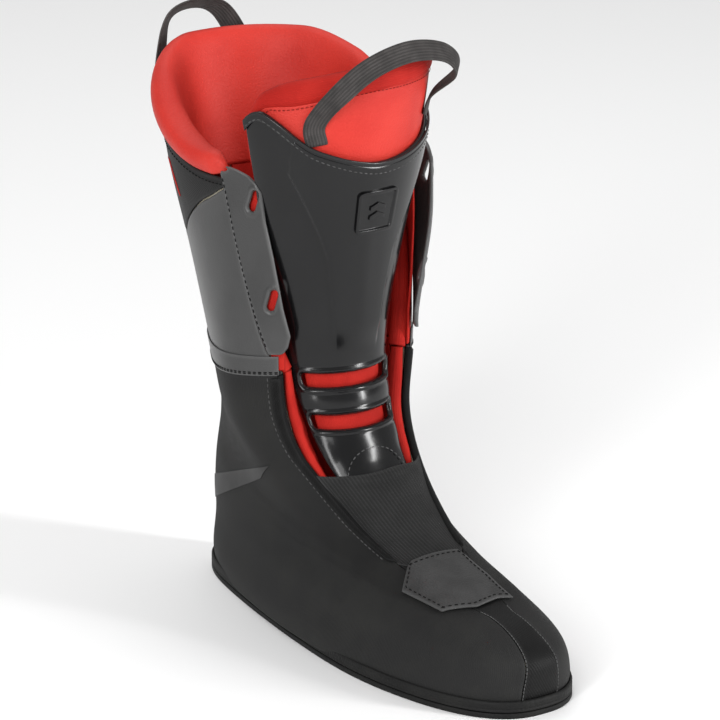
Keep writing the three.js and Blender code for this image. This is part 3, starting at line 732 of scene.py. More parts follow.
class Grain(Enum):
    """Fine structure of a finish."""

    JERSEY = "knitted loops"
    TWILL = "diagonal weave"
    RIBS = "cords that run lengthwise"
    PEBBLE = "pressed pebbles"
    PORES = "open pores"
    SATIN = "moulded satin"


@dataclass(frozen=True)
class Finish:
    """A material, with colours as 8-bit display values and lengths in millimetres.

    Attributes:
        name: of the material.
        colour: main colour.
        shade: colour that the main one drifts to in patches.
        grain: fine structure.
        size: of the fine structure.
        relief: height of the fine structure.
        roughness: lowest and highest.
        patch: size of the patches of colour.
        edge: how much lighter worn edges are, from 0 to 1.
        contrast: how much the grain darkens the colour.
        shine: how mirror-like the surface is, where 0.5 is hard plastic.
    """

    name: str
    colour: tuple[int, int, int]
    shade: tuple[int, int, int]
    grain: Grain
    size: float = 0.8
    relief: float = 0.08
    roughness: tuple[float, float] = (0.6, 0.8)
    patch: float = 24.0
    edge: float = 0.0
    contrast: float = 0.25
    shine: float = 0.18

    def structure(self, shader: Shader, where: bpy.types.NodeSocket, mapped: bool) -> Number:
        """Height of the grain from 0 to 1, on the piece's own cloth coordinates where it has them."""
        size = self.size * MM
        if self.grain is Grain.PEBBLE:
            return shader.cells(where, size).between(0.05, 0.75)
        if self.grain is Grain.PORES:
            return shader.cells(where, size).between(0.1, 0.45)
        if self.grain is Grain.SATIN:
            return shader.noise(where, size, 4)
        split = shader.node("ShaderNodeSeparateXYZ", {}, {0: shader.node("ShaderNodeUVMap").outputs[0]
                                                         if mapped else where})
        across, long = Number(shader, split.outputs[0]), Number(shader, split.outputs[1 if mapped else 2])
        if self.grain is Grain.RIBS:
            return across.wave(size) * (long.wave(size * 0.8) * 0.25 + 0.75)
        if self.grain is Grain.TWILL:
            return (across + long * 0.7).wave(size) * (long.wave(size * 0.6) * 0.4 + 0.6)
        return across.wave(size) * 0.6 + (long + across.wave(size) * (0.4 * size)).wave(size * 0.7) * 0.4

    def material(self, mapped: bool) -> bpy.types.Material:
        """Material of this finish, made once for pieces with cloth coordinates and once for those without."""
        name = self.name if mapped else f"{self.name}_plain"
        if name in bpy.data.materials:
            return bpy.data.materials[name]
        shader = Shader(name)
        where = shader.node("ShaderNodeTexCoord").outputs["Object"]
        drift = shader.noise(where, self.patch * MM, 4)
        fine = shader.noise(where, 0.45 * MM, 2)
        grain = self.structure(shader, where, mapped)
        main, shade = linear(self.colour), linear(self.shade)
        base = shader.blend(drift.between(0.38, 0.66), main, shade)
        dark = (*(c * (1 - self.contrast) for c in main[:3]), 1.0)
        base = shader.blend((1 - (grain * 0.7 + fine * 0.3)) * self.contrast, base, dark)
        if self.edge:
            rim = shader.node("ShaderNodeAttribute", {"attribute_name": "rim"}).outputs["Fac"]
            light = (*(min(1.0, c * 2.2 + 0.02) for c in main[:3]), 1.0)
            worn = Number(shader, rim) * (drift * 0.7 + 0.5) * self.edge
            base = shader.blend(worn, base, light)
        low, high = self.roughness
        bump = shader.node("ShaderNodeBump", {}, {"Height": grain * 0.75 + fine * 0.25, "Strength": 1.0,
                                                  "Distance": self.relief * MM})
        shader.surface.inputs["Specular IOR Level"].default_value = self.shine
        for key, socket in {"Base Color": base, "Roughness": (drift * (high - low) + low).socket,
                            "Normal": bump.outputs[0]}.items():
            shader.tree.links.new(socket, shader.surface.inputs[key])
        return shader.material


NEOPRENE = Finish("neoprene_jersey", (33, 33, 33), (39, 39, 38), Grain.JERSEY, 1.0, 0.18, (0.55, 0.75), 26, 0.2,
                  contrast=0.4)
STRIP = Finish("toe_rubber", (17, 17, 17), (22, 22, 22), Grain.TWILL, 1.5, 0.14, (0.42, 0.62), 14, 0.3, shine=0.14)
ELASTIC = Finish("instep_elastic_weave", (47, 47, 47), (40, 40, 40), Grain.RIBS, 2.2, 0.5, (0.62, 0.82), 18, 0.3,
                 contrast=0.8)
LEATHER = Finish("toe_leather", (52, 52, 52), (44, 44, 44), Grain.PEBBLE, 1.3, 0.14, (0.38, 0.56), 12, 0.4, shine=0.3)
BINDING = Finish("binding_tape", (17, 17, 17), (23, 23, 23), Grain.TWILL, 1.2, 0.18, (0.6, 0.8), 10, 0.25, shine=0.12)
THREAD = Finish("thread", (84, 84, 84), (64, 64, 64), Grain.TWILL, 0.6, 0.04, (0.6, 0.8), 6)
RED_THREAD = Finish("red_thread", (128, 20, 16), (110, 16, 13), Grain.TWILL, 0.6, 0.04, (0.6, 0.8), 6)
BLACK_THREAD = Finish("dark_thread", (14, 14, 14), (22, 22, 22), Grain.TWILL, 0.6, 0.04, (0.6, 0.8), 6, shine=0.1)
COLLAR_RED = Finish("collar_synthetic", (196, 50, 40), (186, 42, 33), Grain.PEBBLE, 1.2, 0.14, (0.5, 0.64), 35,
                    contrast=0.18, shine=0.26)
LINING_RED = Finish("lining_knit", (178, 35, 27), (162, 28, 22), Grain.JERSEY, 1.2, 0.16, (0.62, 0.82), 20,
                    contrast=0.3, shine=0.14)
FILM = Finish("heel_film", (43, 43, 43), (39, 39, 39), Grain.SATIN, 1.6, 0.03, (0.45, 0.6), 18, 0.1, shine=0.2)
CUFF = Finish("cuff_coating", (60, 60, 60), (54, 54, 54), Grain.PEBBLE, 0.9, 0.05, (0.32, 0.46), 40, 0.35,
              contrast=0.15, shine=0.4)
YOKE = Finish("yoke_weave", (28, 28, 28), (35, 35, 35), Grain.TWILL, 1.5, 0.16, (0.45, 0.65), 14, 0.3)
FLAP = Finish("flap_sheet", (56, 56, 56), (50, 50, 50), Grain.PEBBLE, 1.0, 0.06, (0.3, 0.44), 30, 0.7,
              contrast=0.15, shine=0.42)
SHELL = Finish("tongue_plastic", (13, 13, 14), (16, 16, 17), Grain.SATIN, 2.6, 0.05, (0.14, 0.24), 25, 0.45,
               contrast=0.1, shine=0.34)
WEBBING = Finish("loop_webbing", (74, 71, 70), (60, 58, 57), Grain.RIBS, 1.6, 0.3, (0.6, 0.8), 8, contrast=0.75)
FOAM = Finish("cut_foam", (216, 210, 192), (198, 190, 168), Grain.PORES, 1.0, 0.15, (0.8, 0.95), 14)
RUBBER = Finish("sole_rubber", (22, 22, 22), (30, 30, 29), Grain.PEBBLE, 1.6, 0.16, (0.5, 0.75), 18, 0.25)
BOARD = Finish("lasting_board_fibre", (120, 108, 88), (104, 92, 74), Grain.PORES, 0.9, 0.06, (0.8, 0.95), 16)
FOOTBED = Finish("footbed_cloth", (52, 52, 52), (44, 44, 44), Grain.PORES, 1.0, 0.08, (0.75, 0.9), 16)


def dress(obj: bpy.types.Object, finish: Finish) -> bpy.types.Object:
    """Give a piece one finish."""
    obj.data.materials.clear()
    obj.data.materials.append(finish.material(bool(obj.data.uv_layers)))
    return obj


def settle(obj: bpy.types.Object, finish: Finish, slot: str, body: str, *nodes: str) -> bpy.types.Object:
    """Dress a piece, attach it to its body, and hide the frame's nodes that it stands for.

    Args:
        obj: the piece.
        finish: its finish.
        slot: not used.
        body: the body that it moves with, or nothing for a piece that is left unattached.
        nodes: nodes that it replaces.

    Returns:
        The piece.
    """
    dress(obj, finish)
    if body:
        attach(obj, body)
    if nodes:
        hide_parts(*nodes)
    LOG.info("%s: %d faces on %s", obj.name, len(obj.data.polygons), body)
    return obj


def cut(obj: bpy.types.Object) -> bpy.types.Object:
    """Log the flat size of a piece, from the largest values of its cloth coordinates.

    Args:
        obj: the piece.

    Returns:
        The piece.
    """
    uv = np.zeros(len(obj.data.loops) * 2, np.float32)
    obj.data.uv_layers["UVMap"].data.foreach_get("uv", uv)
    wide, long = map(float, uv.reshape(-1, 2).max(0))
    LOG.info("%s: cut %.0f x %.0f mm", obj.name, wide / MM, long / MM)
    return obj


# ---------------------------------------------------------------------------------------------- hand modelling


def start(name: str, primitive: Callable, **settings: object) -> bpy.types.Object:
    """Add a primitive with nothing else selected, ready for edit mode."""
    bpy.ops.object.select_all(action="DESELECT")
    primitive(**settings)
    obj = bpy.context.object
    obj.name = obj.data.name = name
    return obj


def edit(mode: str = "FACE") -> None:
    """Go into edit mode with every face or edge of the active piece selected."""
    bpy.ops.object.mode_set(mode="EDIT")
    bpy.ops.mesh.select_mode(type=mode)
    bpy.ops.mesh.select_all(action="SELECT")


def leave() -> None:
    """Go back to object mode."""
    bpy.ops.object.mode_set(mode="OBJECT")


def apply(obj: bpy.types.Object, kind: str, **settings: object) -> None:
    """Add a modifier and apply it."""
    modifier = obj.modifiers.new(kind.title(), kind)
    for key, value in settings.items():
        setattr(modifier, key, value)
    bpy.context.view_layer.objects.active = obj
    bpy.ops.object.modifier_apply(modifier=modifier.name)


def bend_onto(obj: bpy.types.Object, where: Callable[[Array], Array]) -> None:
    """Move each vertex, flat metres in, to its place on the form."""
    co = np.zeros(len(obj.data.vertices) * 3)
    obj.data.vertices.foreach_get("co", co)
    obj.data.vertices.foreach_set("co", (where(co.reshape(-1, 3) / MM) * MM).ravel())
    obj.data.update()


# ---------------------------------------------------------------------------------------------- the liner


@dataclass
class Sole:
    """Outsole plate with tread and the ribbed rand round it."""

    form: Form
    body: str = "liner"
    thickness: float = 3.0
    rand_bottom: float = 3.5
    rand_height: float = 5.5
    rand_thickness: float = 1.1
    gap: float = 0.15

    def outline(self, offset: float, count: int) -> Array:
        """Plan outline of the foot, grown by an offset."""
        angle = np.linspace(0, 2 * np.pi, count, endpoint=False)
        level = np.ones(count)
        normal = self.form.normal(level, angle) * (1, 1, 0)
        return (self.form.point(level, angle) + unit(normal) * offset)[:, :2]

    def ring(self, name: str, offset: float, low: float, fill: str) -> bpy.types.Object:
        """Circle primitive drawn out to the outline of the foot."""
        obj = start(name, bpy.ops.mesh.primitive_circle_add, vertices=160, radius=1, fill_type=fill)
        outline = self.outline(offset, 160)
        turn = np.arctan2([v.co.x for v in obj.data.vertices], [-v.co.y for v in obj.data.vertices])
        share = np.round((turn % (2 * np.pi)) / (2 * np.pi) * 160).astype(int) % 160
        for vertex, i in zip(obj.data.vertices, share):
            vertex.co = Vector((*outline[i], low)) * MM
        return obj

    def build(self) -> None:
        """Make the outsole and the rand."""
        plate = self.ring("outsole_plate", self.gap + self.rand_thickness, self.thickness, "NGON")
        edit()
        bpy.ops.mesh.extrude_region_move(TRANSFORM_OT_translate={"value": (0, 0, -self.thickness * MM)})
        for inset, depth in ((2.0, 0.0), (3.0, 0.5), (2.0, 0.0), (2.0, -0.5), (8.0, 0.0), (1.0, 0.4)):
            bpy.ops.mesh.inset(thickness=inset * MM, depth=0)
            bpy.ops.transform.translate(value=(0, 0, depth * MM))
        leave()
        apply(plate, "BEVEL", width=0.7 * MM, segments=3, angle_limit=0.9)
        edit()
        bpy.ops.mesh.normals_make_consistent(inside=False)
        leave()
        bpy.ops.object.shade_smooth_by_angle(angle=0.6)
        settle(plate, RUBBER, "rubber", self.body, "outsole")

        rand = self.ring("sole_rand_strip", self.gap + self.rand_thickness / 2, self.rand_bottom, "NOTHING")
        steps = 10
        edit("EDGE")
        for k in range(steps):
            bpy.ops.mesh.extrude_region_move(
                TRANSFORM_OT_translate={"value": (0, 0, self.rand_height / steps * MM)})
            groove = {2: 0.9975, 3: 1.0025, 8: 0.998, 9: 0.994}.get(k, 1.0)
            bpy.ops.transform.resize(value=(groove, groove, 1))
        bpy.ops.mesh.select_all(action="SELECT")
        bpy.ops.mesh.normals_make_consistent(inside=False)
        leave()
        apply(rand, "SOLIDIFY", thickness=self.rand_thickness * MM, offset=0)
        apply(rand, "BEVEL", width=0.5 * MM, segments=2, angle_limit=0.9)
        bpy.ops.object.shade_smooth_by_angle(angle=0.7)
        settle(rand, RUBBER, "rubber", self.body, "sole_rand")


@dataclass
class Foot:
    """Foot of the liner: side panels, toe strip, instep elastic, patch, bindings, film and lining."""

    form: Form
    body: str = "liner"
    skin: float = 2.2
    trim: float = 1.1
    foam: float = 6.8
    foam_depth: float = 2.9
    lining: float = 1.3
    lining_depth: float = 10.6
    seam: float = 0.003
    binding: float = 5.6
    stripe_rear: tuple[tuple[float, float], tuple[float, float]] = ((131, 39.5), (133, 52.5))
    stripe_front: tuple[tuple[float, float], tuple[float, float]] = ((51, 78.5), (37.5, 90))

    def side(self, side: int, low: float = 0.12, high: float = 7.99) -> Place:
        """Place on one side of the foot."""
        def place(u: Array, v: Array) -> tuple[Array, Array]:
            """From the sole up, and from the front edge to the heel."""
            level = mix(low, high, u)
            return level, side * mix(self.form.front_edge(level) + self.seam, BACK - self.seam, v)
        return place

    def middle(self, low: float, high: float) -> Place:
        """Place between the front edges of the side panels."""
        def place(u: Array, v: Array) -> tuple[Array, Array]:
            """From the sole up, and from the lateral to the medial edge."""
            level = mix(low, high, u)
            return level, mix(-1, 1, v) * (self.form.front_edge(level) - self.seam)
        return place

    @staticmethod
    def puckers(level: Array, angle: Array) -> Array:
        """Soft folds of the jersey over the ankle and heel, in millimetres."""
        ankle = bump(level, 6.4, 1.6) * (0.5 * waves(level * 4, angle * 7, 3) + 0.15)
        heel = 0.3 * waves(level * 3, angle * 5, 8) * bump(level, 4, 4)
        return ankle + heel

    def panels(self) -> None:
        """Side panels and their lining."""
        for name, side in SIDES:
            panel = Slab(self.form, self.side(side), 0, self.skin, 90, 150, relief=self.puckers)
            settle(cut(panel.build(f"foot_side_{name}")), NEOPRENE, "neoprene", self.body,
                   f"foot_panel_{name}")
            foam = Slab(self.form, self.side(side), self.foam_depth, self.foam, 60, 90).build(f"foot_padding_{name}")
            settle(foam, FOAM, "foam", self.body, f"foot_foam_{name}")
            lining = Slab(self.form, self.side(side), self.lining_depth, self.lining, 60, 90)
            settle(cut(lining.build(f"foot_inside_{name}")), LINING_RED, "lining", self.body,
                   f"foot_lining_{name}")

            def film(u: Array, v: Array, side: int = side) -> tuple[Array, Array]:
                """Place on the stripe, from its lower edge up and from the heel forward."""
                rear, front = self.stripe_rear, self.stripe_front
                y, z = (mix(mix(rear[0][k], rear[1][k], u), mix(front[0][k], front[1][k], u), v) for k in (0, 1))
                return self.form.from_side(y, z, side)
            strip = Slab(self.form, film, -0.45, 0.35, 20, 60, edge=0.3, lift=self.puckers)
            settle(strip.build(f"heel_stripe_{name}"), FILM, "film", self.body, f"heel_film_{name}")

    def toe(self) -> None:
        """Toe strip with its two seams, toe lining, and the patch on top."""
        strip = self.middle(0.12, 4.7)
        band = Slab(self.form, strip, 0, self.skin, 80, 30).build("toe_band")
        settle(cut(band), STRIP, "toe_strip", self.body, "toe_strip")
        settle(Slab(self.form, strip, self.lining_depth, self.lining, 50, 20).build("toe_inside"), LINING_RED,
               "lining", self.body, "toe_lining")
        left, right = ((0, -15), (0.06, -19), (0.33, -30), (1, -25)), ((0, 14), (0.12, 16), (0.5, 17), (1, 15))
        front = ((0, -92), (0.42, -99), (0.8, -96), (1, -98.5))

        def patch(u: Array, v: Array) -> tuple[Array, Array]:
            """Place on the patch, from the instep to the toe and across."""
            x = mix(along(left, u), along(right, u), v)
            return self.form.from_plan(x, mix(-50, along(front, v), u))
        leather = Slab(self.form, patch, -2.0, self.trim, 44, 50, edge=0.6, relief=level_rise(0.25))
        settle(leather.build("toe_leather_patch"), LEATHER, "patch", self.body, "toe_patch")
        inset = 0.055
        rows = [seam_row(self.form, patch, *share, -2.3) for share in (
            ((inset, 1 - inset), inset), ((inset, 1 - inset), 1 - inset), (1 - inset, (inset, 1 - inset)),
            (inset, (inset, 1 - inset)))]
        settle(stitches("toe_patch_stitches", rows), BLACK_THREAD, "patch", self.body)
        edges = [seam_row(self.form, strip, (0.02, 0.75), share, 0.15) for share in (0.01, 0.99)]
        settle(stitches("toe_band_stitches", edges, 2.0, 1.9, 0.3), THREAD, "toe_strip", self.body)

    def elastic(self) -> None:
        """Elastic panel over the instep, which rises over the tongue and is hemmed at its top."""
        def place(u: Array, v: Array) -> tuple[Array, Array]:
            """From the toe strip up to the hem, and across."""
            level = mix(4.72, 6.4 - 0.16 * (1 - v) ** 2 - 0.2 * smooth(v, 0.55, 1), u)
            return level, mix(-1, 1, v) * (self.form.front_edge(level) - self.seam)

        def lift(a: Array, b: Array) -> Array:
            """How far the panel rises over the tongue."""
            return 1.6 * smooth(a, 5.5, 6.2)

        def hem(a: Array, b: Array) -> Array:
            """Folded hem at the top, with soft ripples below it."""
            return 0.45 * smooth(a, 6.18, 6.24) + 0.12 * waves(a * 9, b * 14, 5)

        panel = Slab(self.form, place, 0.3, self.trim, 70, 70, relief=hem, lift=lift).build("instep_elastic_panel")
        settle(cut(panel), ELASTIC, "elastic", "", "instep_elastic")
        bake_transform(panel)

    def throat(self) -> None:
        """Bindings along the throat with a row of stitches, and the red padded edges of the lining."""
        for name, side in SIDES:
            def tape(u: Array, v: Array, side: int = side) -> tuple[Array, Array]:
                """Place on the binding, up the throat and back from its edge."""
                level = mix(4.72, 7.92, u)
                edge = self.form.front_edge(level)
                across = self.form.at(level, edge + 0.005) - self.form.at(level, edge - 0.005)
                wide = self.binding * 0.01 / np.linalg.norm(across, axis=-1)
                return level, side * (edge + self.seam + v * wide)
            settle(Slab(self.form, tape, -1.5, self.trim, 90, 16, relief=level_rise(0.1)).build(
                f"throat_tape_{name}"), BINDING, "binding", self.body, f"throat_binding_{name}")
            rows = [seam_row(self.form, tape, (0.01, 0.99), 1.3, -0.05, count=200)]
            settle(stitches(f"throat_stitches_{name}", rows), THREAD, "binding", self.body)

            level = np.linspace(4.78, 7.96, 160)
            angle = side * (self.form.front_edge(level) + 0.012)
            r = 1.7 * np.clip((level - 4.7) / 0.15, 0.5, 1)
            settle(cord_roll(f"throat_piping_{name}", self.form, level, angle, 0.4 + 0 * r, r, r), BINDING, "binding",
                   self.body)
            level = np.linspace(5.75, 7.97, 90)
            wide = along(((5.75, 0.6), (6.2, 2.2), (6.6, 3.4), (7.1, 3.6), (7.5, 2.8), (7.97, 2.0)), level)
            angle = side * (self.form.front_edge(level) - (wide + 0.2) / 48)
            roll = cord_roll(f"throat_edge_{name}", self.form, level, angle, 6.3 + 0 * wide, wide,
                             np.minimum(wide * 1.6, 4.4))
            settle(roll, LINING_RED, "lining", self.body, f"throat_roll_{name}")

    def kept(self) -> None:
        """Finishes of the frame's foams and boards inside."""
        for names, finish in (
                (("toe_foam", "ankle_pad_left", "ankle_pad_right"), FOAM), (("lasting_board",), BOARD),
                (("footbed",), FOOTBED), (("tongue_root",), BINDING)):
            for node in names:
                dress(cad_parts[node], finish)

    def build(self) -> None:
        """Make every piece of the foot."""
        self.panels()
        self.toe()
        self.elastic()
        self.throat()
        self.kept()


@dataclass
class Cuff:
    """Shaft of the liner: side panels, yoke, ankle band, flaps and padded collar."""

    form: Form
    body: str = "liner"
    skin: float = 2.2
    trim: float = 1.1
    seam: float = 0.008
    foam: float = 6.8
    foam_depth: float = 2.9
    lining: float = 1.3
    lining_depth: float = 10.6
    flap_thickness: float = 2.2
    slot_length: float = 12.0
    slot_width: float = 4.0

    def side(self, side: int, top: Shape) -> Place:
        """Place on one side of the cuff, up to a top edge whose level depends on the angle."""
        def place(u: Array, v: Array) -> tuple[Array, Array]:
            """From the ankle up, and from the flap's seam to the back."""
            first = self.form.flap_seam(np.array(Form.CUFF_TOP))
            crown = mix(first + self.seam, BACK - self.seam, v)
            high = top(crown)
            level = mix(Form.CUFF + 0.01, high, u)
            lean = u * (1 - v) * (first - self.form.flap_seam(high))
            return level, side * (mix(self.form.flap_seam(level) + self.seam, BACK - self.seam, v) + lean)
        return place

    def round_back(self, low: Shape, high: Shape) -> Place:
        """Place round the back from one flap's seam to the other's."""
        def place(u: Array, v: Array) -> tuple[Array, Array]:
            """From the lower edge up, and round from the medial to the lateral side."""
            first = float(self.form.flap_seam(np.array(Form.CUFF_TOP))) + self.seam
            angle = mix(first, 2 * BACK - first, v)
            folded = np.minimum(angle, 2 * BACK - angle)
            return mix(low(folded), high(folded), u), angle
        return place

    def panels(self) -> None:
        """Side panels, their lining, the yoke and the ankle band."""
        def under_collar(gap: float) -> Shape:
            """Level a gap under the collar's seam."""
            return lambda angle: self.form.collar(angle) - gap

        def ripple(a: Array, b: Array) -> Array:
            """Soft waves of the coated panels."""
            return 0.25 * waves(a * 3, b * 5, 12) * bump(a, 8.9, 0.9)

        seam = under_collar(0.015)
        for name, side in SIDES:
            panel = Slab(self.form, self.side(side, self.form.yoke), 0, self.skin, 70, 90, relief=ripple)
            settle(cut(panel.build(f"cuff_side_{name}")), CUFF, "cuff", self.body, f"cuff_panel_{name}")
            foam = Slab(self.form, self.side(side, under_collar(0.12)), self.foam_depth, self.foam, 50, 60).build(
                f"cuff_padding_{name}")
            settle(foam, FOAM, "foam", self.body, f"cuff_foam_{name}")
            lining = Slab(self.form, self.side(side, seam), self.lining_depth, self.lining, 50, 60)
            settle(cut(lining.build(f"cuff_inside_{name}")), LINING_RED, "lining", self.body,
                   f"cuff_lining_{name}")
        yoke = self.round_back(lambda t: self.form.yoke(t) + 0.02, seam)
        settle(Slab(self.form, yoke, 0, self.skin, 30, 160).build("cuff_rear_yoke"), YOKE, "yoke", self.body,
               "cuff_yoke")

        def band(u: Array, v: Array) -> tuple[Array, Array]:
            """Place on the band, from its lower edge up and round the back."""
            first = float(self.form.front_edge(np.array(8.0))) + 0.02
            angle = mix(first, 2 * BACK - first, v)
            low = Form.CUFF - 0.05
            rise = self.form.point(low + 0.005 + 0 * angle, angle) - self.form.point(low - 0.005 + 0 * angle, angle)
            return low + u * 10 * 0.01 / np.linalg.norm(rise, axis=-1), angle
        settle(Slab(self.form, band, -0.8, 0.7, 18, 220).build("ankle_tape"), CUFF, "cuff", self.body,
               "ankle_band")
        rows = [seam_row(self.form, band, share, (0.005, 0.995), -0.8, count=400) for share in (0.12, 0.2)]
        settle(stitches("ankle_tape_stitches", rows), BLACK_THREAD, "cuff", self.body)

    def flap_place(self, side: int) -> Place:
        """Place on a flap."""
        def place(u: Array, v: Array) -> tuple[Array, Array]:
            """From the bottom up, and from the hinge to the free edge."""
            top = Form.FLAP_TOP + (0.2 if side == MEDIAL else 0) - 0.07 * smooth(1 - v, 0.3, 1)
            level = mix(Form.FLAP_BOTTOM + 0.02, top, u)
            return level, side * mix(self.form.flap_seam(level) - self.seam, self.form.flap_edge(level), v)
        return place

    def slots(self, side: int) -> Field:
        """Distance outside of the flap's two slots."""
        frames = []
        for level, turn in ((9.84, 1.075), (8.8, 0.86)):
            angle = side * turn
            centre = self.form.at(level, angle)
            up = unit(self.form.at(level + 0.05, angle - side * 0.01) - centre)
            frames.append((centre, up, np.cross(up, self.form.normal(np.array(level), np.array(angle)))))

        def distance(a: Array, b: Array) -> Array:
            """Distance outside of the nearer slot."""
            nearest = []
            for centre, up, across in frames:
                offset = self.form.point(a, b) - centre
                high = np.maximum(np.abs(offset @ up) - (self.slot_length - self.slot_width) / 2, 0)
                nearest.append(np.hypot(offset @ across, high) - self.slot_width / 2)
            return np.minimum(*nearest)
        return distance

    def flaps(self) -> None:
        """Flaps with their slots and stitched hinge, and the red cloth behind them."""
        for name, side in SIDES:
            body = f"flap_{name}"
            place, hole = self.flap_place(side), self.slots(side)

            def rim(a: Array, b: Array, hole: Field = hole) -> Array:
                """Raised rim round the slots."""
                return 0.55 * bump(hole(a, b), 1.6, 1.5)

            reach = 7.0 if side == MEDIAL else 0.6

            def spread(a: Array, b: Array, reach: float = reach) -> Array:
                """How far the flap stands out, towards its free edge and top."""
                first, last = self.form.flap_seam(a), self.form.flap_edge(a)
                return reach * mix(0.3, 1, smooth(a, 8.3, 9.6)) * smooth((first - np.abs(b)) / (first - last), 0, 0.9)
            flap = Slab(self.form, place, -self.flap_thickness - 0.2, self.flap_thickness, 120, 60, edge=1.1,
                        relief=rim, hole=hole, lift=spread)
            settle(flap.build(f"flap_sheet_{name}"), FLAP, "flap", body, f"flap_{name}")
            rows = [seam_row(self.form, place, (0.06, 0.95), 0.05, -2.4, count=200)]
            settle(stitches(f"flap_stitches_{name}", rows), BLACK_THREAD, "flap", body)

            def behind(u: Array, v: Array, side: int = side) -> tuple[Array, Array]:
                """Place behind the flap."""
                level = mix(Form.CUFF + 0.01, Form.FLAP_TOP - 0.2, u)
                return level, side * mix(self.form.flap_seam(level) - self.seam,
                                         self.form.flap_edge(np.maximum(level, 8.3)) + 0.04, v)
            backing = Slab(self.form, behind, 0.4, self.lining, 60, 30).build(f"flap_lining_{name}")
            settle(cut(backing), LINING_RED, "lining", self.body, f"flap_backing_{name}")
            level = np.linspace(7.98, 10.02, 80)
            angle = side * (self.form.flap_seam(level) - 3.2 / 52)
            wrap = cord_roll(f"cuff_edge_{name}", self.form, level, angle, 6.6 + 0 * level, 2.8 + 0 * level,
                             4.6 + 0 * level)
            settle(wrap, LINING_RED, "lining", self.body)

    @staticmethod
    def rise(angle: Array) -> Array:
        """Height of the collar, in millimetres: tall at the back and on the medial side."""
        return mix(13, 44, np.where(angle < BACK, smooth(angle, 0.95, 1.8), smooth(2 * BACK - angle, 1.5, 3.0)))

    def collar(self) -> None:
        """Fat padded roll round the back of the leg, highest at the heel side."""
        profile = spline([(-12.4, -29), (-12.4, -12), (-12.3, -1.5), (-11.6, 0.2), (-6, 0.3), (-1.5, 0.3), (0.6, 1.2),
                          (2.6, 8), (4.2, 20), (3.8, 31), (1.2, 38.5), (-3.5, 41.8), (-8, 40), (-10.8, 33), (-12.4, 20),
                          (-13.6, 8), (-14.2, -4), (-14.2, -26), (-13.4, -30), (-12.4, -29)], 81)[:-1]
        start_angle = float(self.form.flap_seam(np.array(Form.CUFF_TOP))) + self.seam
        share = graded(150, 0.03)
        angle = mix(start_angle, 2 * BACK - start_angle, share)
        folded = np.minimum(angle, 2 * BACK - angle)
        level = self.form.collar(folded)
        out = self.form.normal(level, angle)
        up = unit(self.form.point(level + 0.05, angle) - self.form.point(level - 0.05, angle))
        height = self.rise(angle) * self.form.grade[2] / 42
        taper = mix(0.5, 1, smooth(folded, 1.35, 1.75))
        tip = np.sqrt(np.clip(np.minimum(share, 1 - share) / 0.03, 0.0004, 1))
        middle = np.array([-5, 14])
        local = middle + (profile[None] - middle) * tip[:, None, None]
        creases = 1 + 0.012 * waves(angle[:, None] * 14, profile[None, :, 1] / 6, 21)
        x = local[..., 0] * creases * taper[:, None]
        z = local[..., 1] * height[:, None]
        base = self.form.point(level, angle)
        sections = base[:, None] + out[:, None] * x[..., None] + up[:, None] * z[..., None]
        roll = tube("collar_roll", sections)
        settle(roll, COLLAR_RED, "collar", self.body, "collar")

        def line(u: Array, v: Array) -> tuple[Array, Array]:
            """Line of stitches just under the collar."""
            turn = mix(start_angle, 2 * BACK - start_angle, v)
            return self.form.collar(np.minimum(turn, 2 * BACK - turn)) - 0.09 + 0 * u, turn

        settle(stitches("collar_stitches", [seam_row(self.form, line, 0.0, (0.01, 0.99), -0.05, count=300)]),
               BLACK_THREAD, "yoke", self.body)
        for name, side in SIDES:
            def dart(u: Array, v: Array, side: int = side) -> tuple[Array, Array]:
                """Place on the dart."""
                level = mix(9.62, 9.98, u)
                return level, side * (mix(1.98, 2.12, u) + mix(-0.012, 0.012 + 0.05 * u, v))
            settle(Slab(self.form, dart, -0.35, 0.3, 16, 12, edge=0.25).build(f"yoke_dart_{name}"), LINING_RED,
                   "yoke", self.body)

    def build(self) -> None:
        """Make every piece of the cuff."""
        self.panels()
        self.flaps()
        self.collar()


